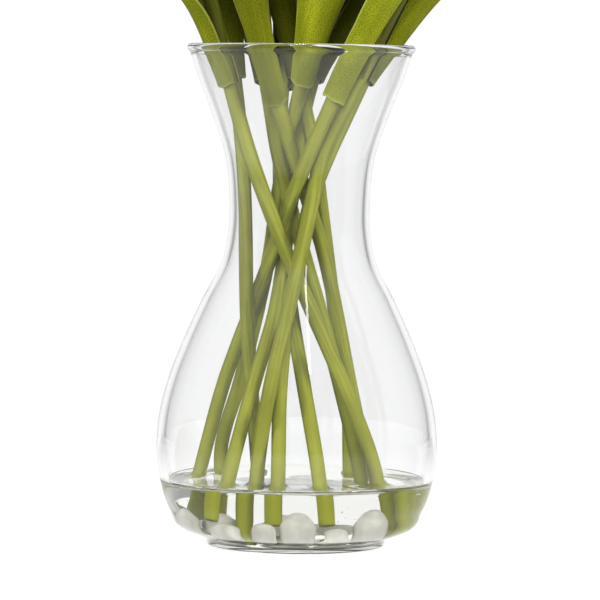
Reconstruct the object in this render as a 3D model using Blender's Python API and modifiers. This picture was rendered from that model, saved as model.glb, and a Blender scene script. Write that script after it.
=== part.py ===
"""Tulips in a belly-shaped glass vase, standing in clear set water on white pebbles.

Metres, +Z up. The origin is the middle of the vase's flat underside, and the front is towards -Y.
"""

import math
from dataclasses import dataclass

import bmesh
import bpy
import numpy as np
from mathutils import Vector

# Clearance between pieces that touch
GAP = 0.0003

# Vase
VASE_SIDES = 32
# Height and outer radius, from the foot up to the rim bead
VASE_LINE = (
    (0.0000, 0.0388),
    (0.0030, 0.0398),
    (0.0066, 0.0490),
    (0.0153, 0.0553),
    (0.0270, 0.0595),
    (0.0400, 0.0613),
    (0.0560, 0.0604),
    (0.0730, 0.0563),
    (0.0895, 0.0500),
    (0.1069, 0.0421),
    (0.1243, 0.0336),
    (0.1380, 0.0309),
    (0.1520, 0.0307),
    (0.1680, 0.0323),
    (0.1854, 0.0377),
    (0.2028, 0.0445),
    (0.2150, 0.0486),
)
RIM_TOP = 0.2185
RIM_BEAD = 0.0036
# How far the bead stands out past the wall, and how its top is rounded
RIM_OVERHANG = 0.0012
RIM_ROUND = 0.0009
RIM_DROP = 0.0004
FLOOR = 0.0050
FLOOR_RADIUS = 0.0415
# Height and wall thickness
WALL_LINE = ((0.008, 0.0042), (0.050, 0.0038), (0.090, 0.0036), (0.140, 0.0031), (0.210, 0.0023))
# Heights of the inner wall's corners, from the floor's edge up to the rim
INNER_HEIGHTS = (0.0085, 0.0150, 0.0270, 0.0450, 0.0680, 0.0920, 0.1150, 0.1350, 0.1560, 0.1850)

# Set water
WATER_TOP = 0.0275
WATER_HEIGHTS = (0.0085, 0.0150)

# Pebbles: middle in X and Y, half length, half width, half height and turn about Z in degrees
PEBBLES = (
    (0.0283, -0.0260, 0.0078, 0.0074, 0.0084, 20),
    (0.0158, -0.0348, 0.0078, 0.0050, 0.0040, 12),
    (0.0010, -0.0365, 0.0072, 0.0062, 0.0080, 0),
    (-0.0125, -0.0380, 0.0052, 0.0044, 0.0055, 165),
    (-0.0270, -0.0290, 0.0090, 0.0064, 0.0046, 135),
    (-0.0385, -0.0080, 0.0080, 0.0062, 0.0082, 100),
    (-0.0040, -0.0120, 0.0090, 0.0084, 0.0084, 10),
    (0.0140, -0.0125, 0.0085, 0.0078, 0.0060, 50),
    (-0.0235, -0.0078, 0.0076, 0.0080, 0.0084, 0),
    (0.0020, 0.0100, 0.0092, 0.0080, 0.0080, 5),
    (0.0220, 0.0090, 0.0080, 0.0074, 0.0076, 60),
    (-0.0190, 0.0160, 0.0085, 0.0075, 0.0078, 140),
    (0.0050, 0.0290, 0.0090, 0.0076, 0.0076, 170),
    (-0.0390, 0.0100, 0.0062, 0.0056, 0.0062, 80),
    (0.0346, 0.0186, 0.0070, 0.0058, 0.0062, 60),
)

# Stems
STEM_RADIUS = 0.0032
STEM_SIDES_SETTING = 2
STEM_HOLE_CLEARANCE = 0.0004
# Heights at which a stem's tube turns, between its foot and its head
STEM_TURNS = (0.035, 0.070, 0.102, 0.127, 0.150, 0.172, 0.192, 0.210, 0.245, 0.285)
# The heights at which a stem's line is worked out start here and go up by this step
LINE_START = 0.008
LINE_STEP = 0.004
# A stem's tube has no turn nearer to its head than this
LAST_TURN = 0.015
# Heights at which each stem's places in TULIPS are given
LEVELS = (0.0275, 0.060, 0.095, 0.125, 0.150, 0.175, 0.200, 0.235)
# Room that the separation keeps between two stems, and around each leaf's sleeve
STEM_ROOM = 0.0016
SLEEVE_ROOM = 0.0013
SLEEVE_REACH = 0.045
# Each step's move per unit of missing room, in X and in Y, and what it keeps of its shift in each step
PUSH = (0.06, 0.5)
DRAWN_BACK = 0.995
SEPARATION_STEPS = 600

# Leaves
LEAF_THICKNESS = 0.0008
SLEEVE_RADIUS = STEM_RADIUS + GAP + LEAF_THICKNESS + 0.0003
# Along the leaf: place, half width and the radius that it is rolled to
LEAF_PLACES = (0.0, 0.10, 0.22, 0.36, 0.54, 0.74, 0.90, 1.0)
LEAF_HALF_WIDTHS = (0.0108, 0.0114, 0.0130, 0.0152, 0.0172, 0.0140, 0.0070, 0.0012)
LEAF_ROLLS = (1.0, 1.25, 1.8, 3.0, 4.6, 5.8, 6.3, 6.6)
LEAF_COLUMNS = 8
# Height of the waves along a leaf's edges, and how fast they follow each other
LEAF_WAVE = 0.0012
LEAF_WAVE_RATE = 9.0

# Blooms
# Petals of both layers together, and the turn of the first one in degrees
PETALS = 6
PETAL_TURN = 12
PETAL_THICKNESS = 0.0008
PETAL_COLUMNS = 3
PETAL_PLACES = (0.0, 0.14, 0.40, 0.74, 1.0)
PETAL_HEIGHTS = (0.0014, 0.0070, 0.0240, 0.0450, 0.0575)
PETAL_RADII = (0.0026, 0.0138, 0.0212, 0.0208, 0.0150)
PETAL_HALF_WIDTHS = (0.0014, 0.0100, 0.0195, 0.0170, 0.0034)
# How far a petal's edges drop under its middle, as a share of its half width
PETAL_CROWN = 0.05
# The inner petals are this much nearer the axis, and their foot is this much higher
INNER_PETAL_STEP = 0.0026
INNER_PETAL_RISE = 0.0026
RECEPTACLE_HEIGHT = 0.0062
RECEPTACLE_RADIUS = 0.0058
RECEPTACLE_SIDES = 6
# Edges sharper than this, in degrees, are drawn sharp on a bloom
SHARP_EDGE = 50
# The stretch under a stem's head that its bloom lines up with
HEAD_STRETCH = 0.012


@dataclass(frozen=True)
class Tulip:
    """One tulip: the places of its foot, of its stem at LEVELS and of its head, then its leaf and bloom.

    The leaf starts at the height sleeve and leans towards heading, in degrees from +X. spread is how far
    its tip stands out, flare is the share of that which it gains evenly from the sleeve on, and girth
    widens its blade.
    """

    foot: tuple
    way: tuple
    head: tuple
    sleeve: float
    heading: float
    length: float
    spread: float
    flare: float
    girth: float
    bloom_size: float


TULIPS = (
    Tulip(
        foot=(0.0385, -0.0075, 0.0120),
        way=(
            (0.0361, -0.0090), (0.0246, -0.0190), (0.0092, -0.0195), (-0.0044, -0.0135),
            (-0.0145, -0.0120), (-0.0236, -0.0120), (-0.0315, -0.0130), (-0.0426, -0.0170),
        ),
        head=(-0.0900, -0.0280, 0.318),
        sleeve=0.201, heading=166, length=0.138, spread=0.052, flare=0.25, girth=1.1,
        bloom_size=0.98,
    ),
    Tulip(
        foot=(-0.0160, 0.0400, 0.0100),
        way=(
            (-0.0173, 0.0360), (-0.0197, 0.0140), (-0.0223, 0.0010), (-0.0231, -0.0010),
            (-0.0238, 0.0000), (-0.0255, -0.0010), (-0.0283, 0.0020), (-0.0340, 0.0080),
        ),
        head=(-0.0660, 0.0340, 0.345),
        sleeve=0.203, heading=306, length=0.145, spread=0.032, flare=0.4, girth=0.95,
        bloom_size=1.00,
    ),
    Tulip(
        foot=(0.0325, -0.0020, 0.0090),
        way=(
            (0.0293, -0.0040), (0.0211, -0.0100), (0.0117, -0.0080), (0.0027, -0.0020),
            (-0.0044, 0.0000), (-0.0102, -0.0050), (-0.0147, 0.0050), (-0.0215, 0.0170),
        ),
        head=(-0.0340, 0.0760, 0.334),
        sleeve=0.202, heading=106, length=0.145, spread=0.045, flare=0.2, girth=0.9,
        bloom_size=0.96,
    ),
    Tulip(
        foot=(0.0350, 0.0065, 0.0100),
        way=(
            (0.0326, 0.0060), (0.0250, 0.0080), (0.0181, 0.0080), (0.0118, 0.0060),
            (0.0037, 0.0010), (-0.0046, -0.0100), (-0.0123, -0.0220), (-0.0220, -0.0330),
        ),
        head=(-0.0500, -0.0700, 0.330),
        sleeve=0.194, heading=282, length=0.145, spread=0.040, flare=0.1, girth=0.66,
        bloom_size=1.02,
    ),
    Tulip(
        foot=(0.0120, -0.0330, 0.0150),
        way=(
            (0.0105, -0.0310), (0.0048, -0.0200), (-0.0024, -0.0010), (-0.0063, 0.0140),
            (-0.0090, 0.0165), (-0.0095, 0.0160), (-0.0085, 0.0180), (-0.0035, 0.0240),
        ),
        head=(0.0180, 0.0300, 0.376),
        sleeve=0.199, heading=88, length=0.150, spread=0.020, flare=0.3, girth=1.05,
        bloom_size=1.00,
    ),
    Tulip(
        foot=(-0.0335, 0.0340, 0.0160),
        way=(
            (-0.0354, 0.0370), (-0.0275, 0.0280), (-0.0186, 0.0190), (-0.0121, 0.0105),
            (-0.0096, 0.0065), (-0.0053, 0.0035), (0.0000, -0.0085), (0.0080, -0.0190),
        ),
        head=(0.0300, -0.0400, 0.362),
        sleeve=0.202, heading=300, length=0.150, spread=0.036, flare=0.2, girth=1.2,
        bloom_size=1.04,
    ),
    Tulip(
        foot=(0.0245, 0.0350, 0.0100),
        way=(
            (0.0241, 0.0320), (0.0241, 0.0240), (0.0167, 0.0170), (0.0129, 0.0130),
            (0.0091, 0.0070), (0.0058, 0.0010), (-0.0004, 0.0030), (-0.0080, 0.0010),
        ),
        head=(-0.0280, -0.0020, 0.372),
        sleeve=0.204, heading=215, length=0.145, spread=0.020, flare=0.2, girth=0.9,
        bloom_size=0.95,
    ),
    Tulip(
        foot=(-0.0318, -0.0235, 0.0160),
        way=(
            (-0.0297, -0.0220), (-0.0223, -0.0150), (-0.0112, -0.0010), (-0.0070, 0.0055),
            (-0.0042, 0.0115), (-0.0016, 0.0155), (0.0036, 0.0200), (0.0155, 0.0280),
        ),
        head=(0.0360, 0.0740, 0.336),
        sleeve=0.203, heading=16, length=0.145, spread=0.048, flare=0.6, girth=1.25,
        bloom_size=1.00,
    ),
    Tulip(
        foot=(-0.0473, 0.0185, 0.0200),
        way=(
            (-0.0450, 0.0180), (-0.0360, 0.0190), (-0.0234, 0.0115), (-0.0116, -0.0010),
            (-0.0037, -0.0100), (0.0061, -0.0160), (0.0167, -0.0200), (0.0320, -0.0310),
        ),
        head=(0.0660, -0.0660, 0.322),
        sleeve=0.195, heading=312, length=0.145, spread=0.045, flare=0.15, girth=0.8,
        bloom_size=1.00,
    ),
    Tulip(
        foot=(-0.0180, -0.0200, 0.0100),
        way=(
            (-0.0173, -0.0170), (-0.0136, -0.0270), (-0.0059, -0.0260), (0.0002, -0.0200),
            (0.0050, -0.0140), (0.0102, -0.0090), (0.0232, -0.0120), (0.0410, -0.0140),
        ),
        head=(0.1000, -0.0180, 0.322),
        sleeve=0.205, heading=158, length=0.145, spread=0.026, flare=0.1, girth=0.9,
        bloom_size=0.98,
    ),
    Tulip(
        foot=(-0.0080, -0.0260, 0.0150),
        way=(
            (-0.0078, -0.0240), (-0.0080, -0.0205), (-0.0059, -0.0155), (0.0002, -0.0055),
            (0.0043, -0.0060), (0.0140, -0.0010), (0.0271, 0.0025), (0.0430, 0.0120),
        ),
        head=(0.0880, 0.0380, 0.338),
        sleeve=0.203, heading=336, length=0.140, spread=0.061, flare=0.6, girth=1.1,
        bloom_size=0.97,
    ),
)


def clear_scene():
    for old in list(bpy.data.objects):
        bpy.data.objects.remove(old)


def new_collection(name, hidden=False):
    made = bpy.data.collections.new(name)
    made.hide_render = hidden
    bpy.context.scene.collection.children.link(made)
    return made


def add_object(name, data, collection):
    made = bpy.data.objects.new(name, data)
    collection.objects.link(made)
    return made


def finish(name, colour, roughness, transmission=0.0, index=1.45):
    """A Principled material."""
    material = bpy.data.materials.new(name)
    material.use_nodes = True
    shader = material.node_tree.nodes["Principled BSDF"]
    shader.inputs["Base Color"].default_value = (*colour, 1.0)
    shader.inputs["Roughness"].default_value = roughness
    shader.inputs["Metallic"].default_value = 0.0
    shader.inputs["Transmission Weight"].default_value = transmission
    shader.inputs["IOR"].default_value = index
    return material


def read_line(knots, values, at):
    """A smooth cubic through values at knots, read at the places in at."""
    knots, values, at = (np.asarray(given, float) for given in (knots, values, at))
    slopes = np.gradient(values, knots, axis=0)
    low = np.clip(np.searchsorted(knots, at, side="right") - 1, 0, len(knots) - 2)
    step = knots[low + 1] - knots[low]
    t = (at - knots[low]) / step
    if values.ndim > 1:
        step, t = step[:, None], t[:, None]
    start = (2 * t**3 - 3 * t**2 + 1) * values[low] + (t**3 - 2 * t**2 + t) * step * slopes[low]
    end = (3 * t**2 - 2 * t**3) * values[low + 1] + (t**3 - t**2) * step * slopes[low + 1]
    return start + end


def outer_radius(heights):
    line = np.array(VASE_LINE)
    return read_line(line[:, 0], line[:, 1], np.minimum(heights, line[-1, 0]))


def inner_radius(heights):
    wall = np.array(WALL_LINE)
    return outer_radius(heights) - np.interp(heights, wall[:, 0], wall[:, 1])


def turned(name, profile, sides, collection):
    """A solid of revolution about Z from (radius, height) points."""
    mesh = bpy.data.meshes.new(name)
    points = [(radius, 0.0, height) for radius, height in profile]
    mesh.from_pydata(points, [(i, i + 1) for i in range(len(points) - 1)], [])
    made = add_object(name, mesh, collection)
    screw = made.modifiers.new("turn", "SCREW")
    screw.steps = screw.render_steps = sides
    screw.use_merge_vertices = True
    screw.merge_threshold = 0.00001
    screw.use_smooth_shade = True
    return made


def build_vase(collection):
    """The glass: up the inner wall, round the bead on the rim, down the outer wall and across the base."""
    inner = list(zip(inner_radius(np.array(INNER_HEIGHTS)), INNER_HEIGHTS))
    outer = [(radius, height) for height, radius in reversed(VASE_LINE)]
    bead_inner, bead_outer = float(inner_radius(RIM_TOP)), outer[0][0] + RIM_OVERHANG
    bead = [
        (bead_inner, RIM_TOP - RIM_BEAD),
        (bead_inner + RIM_ROUND, RIM_TOP - RIM_DROP),
        (bead_outer - RIM_OVERHANG, RIM_TOP),
        (bead_outer, RIM_TOP - RIM_BEAD / 2),
    ]
    profile = [(0.0, FLOOR), (FLOOR_RADIUS, FLOOR), *inner, *bead, *outer, (0.0, 0.0)]
    vase = turned("vase", profile, VASE_SIDES, collection)
    vase.data.materials.append(finish("vase_glass", (0.97, 0.98, 0.98), 0.02, 1.0, 1.50))


def water_blank(collection):
    """The set water before it is hollowed, GAP inside the glass."""
    heights = np.array((*WATER_HEIGHTS, WATER_TOP))
    side = list(zip(inner_radius(heights) - GAP, heights))
    profile = [(0.0, WATER_TOP), *reversed(side), (FLOOR_RADIUS - GAP, FLOOR + GAP), (0.0, FLOOR + GAP)]
    water = turned("water", profile, VASE_SIDES, collection)
    water.data.materials.append(finish("clear_resin", (0.98, 0.99, 0.98), 0.02, 1.0, 1.49))
    return water


def stone(name, place, grown, collection):
    """A smooth pebble that lies on the floor. grown is added to its skin all round."""
    x, y, length, width, height, turn = place
    mesh = bpy.data.meshes.new(name)
    shape = bmesh.new()
    bmesh.ops.create_icosphere(shape, subdivisions=2, radius=1.0)
    bmesh.ops.scale(shape, vec=Vector((length, width, height)) + Vector((grown,) * 3), verts=shape.verts)
    shape.to_mesh(mesh)
    shape.free()
    made = add_object(name, mesh, collection)
    made.location = (x, y, FLOOR + GAP + height)
    made.rotation_euler = (0.0, 0.0, math.radians(turn))
    return made


def build_pebbles(parts, cutters):
    for number, place in enumerate(PEBBLES, 1):
        pebble = stone(f"pebble_{number:02d}", place, 0.0, parts)
        pebble.data.materials.append(finish(f"pebble_stone_{number:02d}", (0.80, 0.78, 0.74), 0.35))
        hollow = stone(f"pebble_hollow_{number:02d}", place, GAP, cutters)
        hollow.display_type = "WIRE"
        hollow.hide_render = True


def reaches(heights):
    """The room each stem takes at each height: its own radius, its sleeve's or, under its foot, none."""
    feet = np.array([tulip.foot[2] for tulip in TULIPS])[:, None]
    sleeves = np.array([tulip.sleeve for tulip in TULIPS])[:, None]
    wrapped = (heights > sleeves - LINE_STEP) & (heights < sleeves + SLEEVE_REACH)
    room = np.where(wrapped, SLEEVE_RADIUS + SLEEVE_ROOM, STEM_RADIUS + STEM_ROOM / 2)
    return np.where(heights > feet - LINE_STEP, room, 0.0)


def push_apart(places, reach):
    """One step's move of each stem off those that are too near it, mostly in depth."""
    between = places[:, None] - places[None, :]
    distance = np.maximum(np.linalg.norm(between, axis=-1), 1e-6)
    short = np.maximum(reach[:, None] + reach[None, :] - distance, 0.0)
    short[(reach[:, None] == 0.0) | (reach[None, :] == 0.0)] = 0.0
    short[np.arange(len(places)), np.arange(len(places))] = 0.0
    return (between / distance[..., None] * short[..., None]).sum(axis=1) * np.array(PUSH)


def separate(places, heights):
    """Stems eased apart and kept off the glass.

    Each height's shift is shared with its neighbours', and all of it is drawn back a little in each step.
    """
    reach = reaches(heights)
    limit = np.where(reach > 0.0, inner_radius(heights) - reach, np.inf)
    drawn = places.copy()
    for _ in range(SEPARATION_STEPS):
        places = places + push_apart(places, reach)
        shift = (places - drawn) * DRAWN_BACK
        shift[:, 1:-1] = 0.5 * shift[:, 1:-1] + 0.25 * (shift[:, :-2] + shift[:, 2:])
        places = drawn + shift
        out = np.linalg.norm(places, axis=-1)
        places = places * np.minimum(1.0, limit / out)[..., None]
    return places


def stem_lines():
    """Each stem's centre line, as its knots' heights and their places in X and Y."""
    heights = np.arange(LINE_START, LEVELS[-1] + LINE_STEP / 4, LINE_STEP)
    drawn = []
    for tulip in TULIPS:
        knots = (tulip.foot[2], *LEVELS, tulip.head[2])
        through = (tulip.foot[:2], *tulip.way, tulip.head[:2])
        drawn.append(read_line(knots, through, np.maximum(heights, tulip.foot[2])))
    settled = separate(np.array(drawn), heights)
    lines = []
    for tulip, places in zip(TULIPS, settled):
        kept = heights > tulip.foot[2] + LINE_STEP / 2
        foot = [np.interp(tulip.foot[2], heights, places[:, axis]) for axis in (0, 1)]
        knots = np.concatenate([[tulip.foot[2]], heights[kept], [tulip.head[2]]])
        lines.append((knots, np.vstack([foot, places[kept], tulip.head[:2]])))
    return lines


def line_points(line, heights):
    """Points of a stem's centre line at heights."""
    return np.column_stack([read_line(*line, heights), heights])


def tube(name, points, radius, collection):
    """A round rod along points."""
    curve = bpy.data.curves.new(name, "CURVE")
    curve.dimensions = "3D"
    curve.bevel_depth = radius
    curve.bevel_resolution = STEM_SIDES_SETTING
    curve.use_fill_caps = True
    spline = curve.splines.new("POLY")
    spline.points.add(len(points) - 1)
    for target, point in zip(spline.points, points):
        target.co = (*point, 1.0)
    return add_object(name, curve, collection)


def as_mesh(rod, collection):
    """The rod as a closed mesh object in collection."""
    graph = bpy.context.evaluated_depsgraph_get()
    mesh = bpy.data.meshes.new_from_object(rod.evaluated_get(graph))
    shape = bmesh.new()
    shape.from_mesh(mesh)
    bmesh.ops.remove_doubles(shape, verts=shape.verts, dist=0.000001)
    bmesh.ops.recalc_face_normals(shape, faces=shape.faces)
    shape.to_mesh(mesh)
    shape.free()
    made = add_object(rod.name + "_hole", mesh, collection)
    made.matrix_world = rod.matrix_world
    curve = rod.data
    bpy.data.objects.remove(rod)
    bpy.data.curves.remove(curve)
    return made


def build_stem(number, tulip, line, parts, cutters):
    """The stem, and the cutter of the hole that it stands in."""
    turns = np.array(STEM_TURNS)
    inside = turns[(turns > tulip.foot[2]) & (turns < tulip.head[2] - LAST_TURN)]
    heights = np.concatenate([[tulip.foot[2]], inside, [tulip.head[2]]])
    stem = tube(f"stem_{number:02d}", line_points(line, heights), STEM_RADIUS, parts)
    stem.data.materials.append(finish(f"stem_green_{number:02d}", (0.33, 0.36, 0.10), 0.5))
    bottom = line_points(line, np.array((tulip.foot[2], turns[0], turns[1])))
    down = (bottom[0] - bottom[1]) / np.linalg.norm(bottom[0] - bottom[1])
    bottom[0] += down * STEM_HOLE_CLEARANCE
    hole = tube(f"stem_{number:02d}", bottom, STEM_RADIUS + STEM_HOLE_CLEARANCE, parts)
    hole = as_mesh(hole, cutters)
    hole.display_type = "WIRE"
    hole.hide_render = True


def grid_object(name, points, thickness, collection):
    """A sheet through a grid of points, split into triangles alike on both faces and given a thickness."""
    rows, columns = points.shape[:2]
    mesh = bpy.data.meshes.new(name)
    faces = []
    for row in range(rows - 1):
        for column in range(columns - 1):
            a = row * columns + column
            b, c, d = a + 1, a + columns + 1, a + columns
            if column < (columns - 1) / 2:
                faces += [(a, b, c), (a, c, d)]
            else:
                faces += [(a, b, d), (b, c, d)]
    mesh.from_pydata(points.reshape(-1, 3).tolist(), [], faces)
    mesh.shade_smooth()
    made = add_object(name, mesh, collection)
    wall = made.modifiers.new("thickness", "SOLIDIFY")
    wall.thickness = thickness
    wall.offset = 0.0
    return made


def leaf_points(tulip, line):
    """A sleeve round the stem that opens upwards into a long blade, leaning out along the leaf's heading."""
    along = np.array(LEAF_PLACES)
    centres = line_points(line, tulip.sleeve + tulip.length * along)
    rise = np.gradient(centres, along, axis=0)
    rise /= np.linalg.norm(rise, axis=1, keepdims=True)
    angle = math.radians(tulip.heading)
    out = np.array((math.cos(angle), math.sin(angle), 0.0)) - rise * (
        rise[:, :1] * math.cos(angle) + rise[:, 1:2] * math.sin(angle)
    )
    out /= np.linalg.norm(out, axis=1, keepdims=True)
    aside = np.cross(rise, out)
    lean = tulip.spread * (tulip.flare * along + (1.0 - tulip.flare) * along**2)
    grown = 1.0 + (tulip.girth - 1.0) * np.minimum(along / LEAF_PLACES[2], 1.0)
    roll = SLEEVE_RADIUS * grown * np.array(LEAF_ROLLS)
    half_angle = grown * np.array(LEAF_HALF_WIDTHS) / roll
    across = np.linspace(-1.0, 1.0, LEAF_COLUMNS + 1)
    turn = half_angle[:, None] * across[None, :]
    wave = LEAF_WAVE * along * np.sin(LEAF_WAVE_RATE * along + tulip.heading)
    reach = (SLEEVE_RADIUS + lean)[:, None] - roll[:, None] * (1 - np.cos(turn))
    reach += wave[:, None] * across[None, :] ** 2
    swing = roll[:, None] * np.sin(turn)
    return centres[:, None] + out[:, None] * reach[..., None] + aside[:, None] * swing[..., None]


def build_leaf(number, tulip, line, collection):
    leaf = grid_object(f"leaf_{number:02d}", leaf_points(tulip, line), LEAF_THICKNESS, collection)
    leaf.data.materials.append(finish(f"leaf_green_{number:02d}", (0.22, 0.30, 0.06), 0.5))


def petal_points(inner, facing):
    """A cupped petal about the bloom's Z axis: a rounded base, a full belly and a blunt tip that leans in."""
    places = np.array(PETAL_PLACES)
    radius = np.array(PETAL_RADII) - inner * INNER_PETAL_STEP * np.minimum(places / PETAL_PLACES[1], 1.0)
    height = np.array(PETAL_HEIGHTS) + inner * INNER_PETAL_RISE * (1.0 - places) ** 2
    half_width = np.array(PETAL_HALF_WIDTHS)
    across = np.linspace(-1.0, 1.0, PETAL_COLUMNS + 1)
    angle = facing + (half_width / radius)[:, None] * across[None, :]
    drop = PETAL_CROWN * half_width[:, None] * across[None, :] ** 2
    return np.stack(
        [radius[:, None] * np.cos(angle), radius[:, None] * np.sin(angle), height[:, None] - drop], axis=-1
    )


def fuse(base, pieces):
    """Unites base with every object in the collection pieces, and removes that collection."""
    union = base.modifiers.new("union", "BOOLEAN")
    union.operation = "UNION"
    union.operand_type = "COLLECTION"
    union.collection = pieces
    graph = bpy.context.evaluated_depsgraph_get()
    mesh = bpy.data.meshes.new_from_object(base.evaluated_get(graph))
    base.modifiers.clear()
    base.data = mesh
    for piece in list(pieces.objects):
        bpy.data.objects.remove(piece)
    bpy.data.collections.remove(pieces)


def bloom_mesh():
    """Three inner and three outer petals fused to a receptacle, about Z, with its seat at the origin."""
    mesh = bpy.data.meshes.new("bloom")
    shape = bmesh.new()
    bmesh.ops.create_cone(
        shape,
        cap_ends=True,
        segments=RECEPTACLE_SIDES,
        radius1=STEM_RADIUS,
        radius2=RECEPTACLE_RADIUS,
        depth=RECEPTACLE_HEIGHT,
    )
    bmesh.ops.translate(shape, vec=(0.0, 0.0, RECEPTACLE_HEIGHT / 2), verts=shape.verts)
    shape.to_mesh(mesh)
    shape.free()
    base = add_object("bloom", mesh, bpy.context.scene.collection)
    pieces = new_collection("petals")
    for number in range(PETALS):
        facing = math.radians(360 / PETALS * number + PETAL_TURN)
        grid_object(f"petal_{number}", petal_points(number % 2, facing), PETAL_THICKNESS, pieces)
    fuse(base, pieces)
    fused = base.data
    fused.shade_smooth()
    fused.set_sharp_from_angle(angle=math.radians(SHARP_EDGE))
    bpy.data.objects.remove(base)
    return fused


def build_bloom(number, tulip, line, mesh, collection):
    """A bloom seated on the stem's end and turned along it."""
    ends = line_points(line, np.array((tulip.head[2] - HEAD_STRETCH, tulip.head[2])))
    axis = Vector(ends[1] - ends[0]).normalized()
    own = mesh.copy()
    bloom = add_object(f"bloom_{number:02d}", own, collection)
    bloom.rotation_mode = "QUATERNION"
    bloom.rotation_quaternion = axis.to_track_quat("Z", "Y")
    bloom.location = Vector(ends[1]) + axis * GAP
    bloom.scale = (tulip.bloom_size,) * 3
    own.materials.clear()
    own.materials.append(finish(f"petal_white_{number:02d}", (0.86, 0.83, 0.72), 0.45))


def build_tulips(parts, cutters):
    mesh = bloom_mesh()
    for number, (tulip, line) in enumerate(zip(TULIPS, stem_lines()), 1):
        build_stem(number, tulip, line, parts, cutters)
        build_leaf(number, tulip, line, parts)
        build_bloom(number, tulip, line, mesh, parts)


def hollow_water(water, cutters):
    """Cuts the stems' holes and the pebbles' hollows, which open through the floor side."""
    cut = water.modifiers.new("hollows", "BOOLEAN")
    cut.operation = "DIFFERENCE"
    cut.operand_type = "COLLECTION"
    cut.collection = cutters


def main():
    clear_scene()
    parts = new_collection("tulip_arrangement")
    cutters = new_collection("cutters", hidden=True)
    build_vase(parts)
    build_pebbles(parts, cutters)
    build_tulips(parts, cutters)
    hollow_water(water_blank(parts), cutters)


main()
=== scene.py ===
"""The finished look of the tulip arrangement in its vase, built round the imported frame.

Metres, +Z up. The origin is the middle of the vase's flat underside, and the front is towards -Y.
"""

import logging
import math
from dataclasses import dataclass
from enum import Enum

import bmesh
import bpy
import numpy as np
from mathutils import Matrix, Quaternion, Vector


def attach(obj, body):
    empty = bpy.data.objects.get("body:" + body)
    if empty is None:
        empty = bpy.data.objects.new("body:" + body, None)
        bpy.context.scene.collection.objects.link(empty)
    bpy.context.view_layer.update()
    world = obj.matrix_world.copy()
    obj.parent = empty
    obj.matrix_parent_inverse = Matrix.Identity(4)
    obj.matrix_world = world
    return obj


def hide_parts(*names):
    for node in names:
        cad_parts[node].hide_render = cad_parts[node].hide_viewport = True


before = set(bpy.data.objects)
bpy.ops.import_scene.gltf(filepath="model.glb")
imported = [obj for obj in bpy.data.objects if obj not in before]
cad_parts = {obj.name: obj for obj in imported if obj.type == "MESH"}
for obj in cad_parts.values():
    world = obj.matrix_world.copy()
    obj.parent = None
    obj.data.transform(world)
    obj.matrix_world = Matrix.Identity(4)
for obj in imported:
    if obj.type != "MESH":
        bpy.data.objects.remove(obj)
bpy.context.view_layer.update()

log = logging.getLogger("tulips")

Colour = tuple[float, float, float]
Socket = bpy.types.NodeSocket
Numbers = np.ndarray | tuple
WHITE: Colour = (1.0, 1.0, 1.0)
BODY = "root"
# Clearance that the frame keeps between pieces that touch
GAP = 0.0003


class Slot(Enum):
    """The record's material slots."""

    GLASS = "vase_glass"
    RESIN = "clear_resin"
    PEBBLE = "pebble"
    STEM = "stem"
    LEAF = "leaf"
    PETAL = "petal"


class Face(Enum):
    """Which of a clear piece's materials a face takes, by its place in the piece's list."""

    DRY = 0
    WET = 1


# Shader trees


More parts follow.
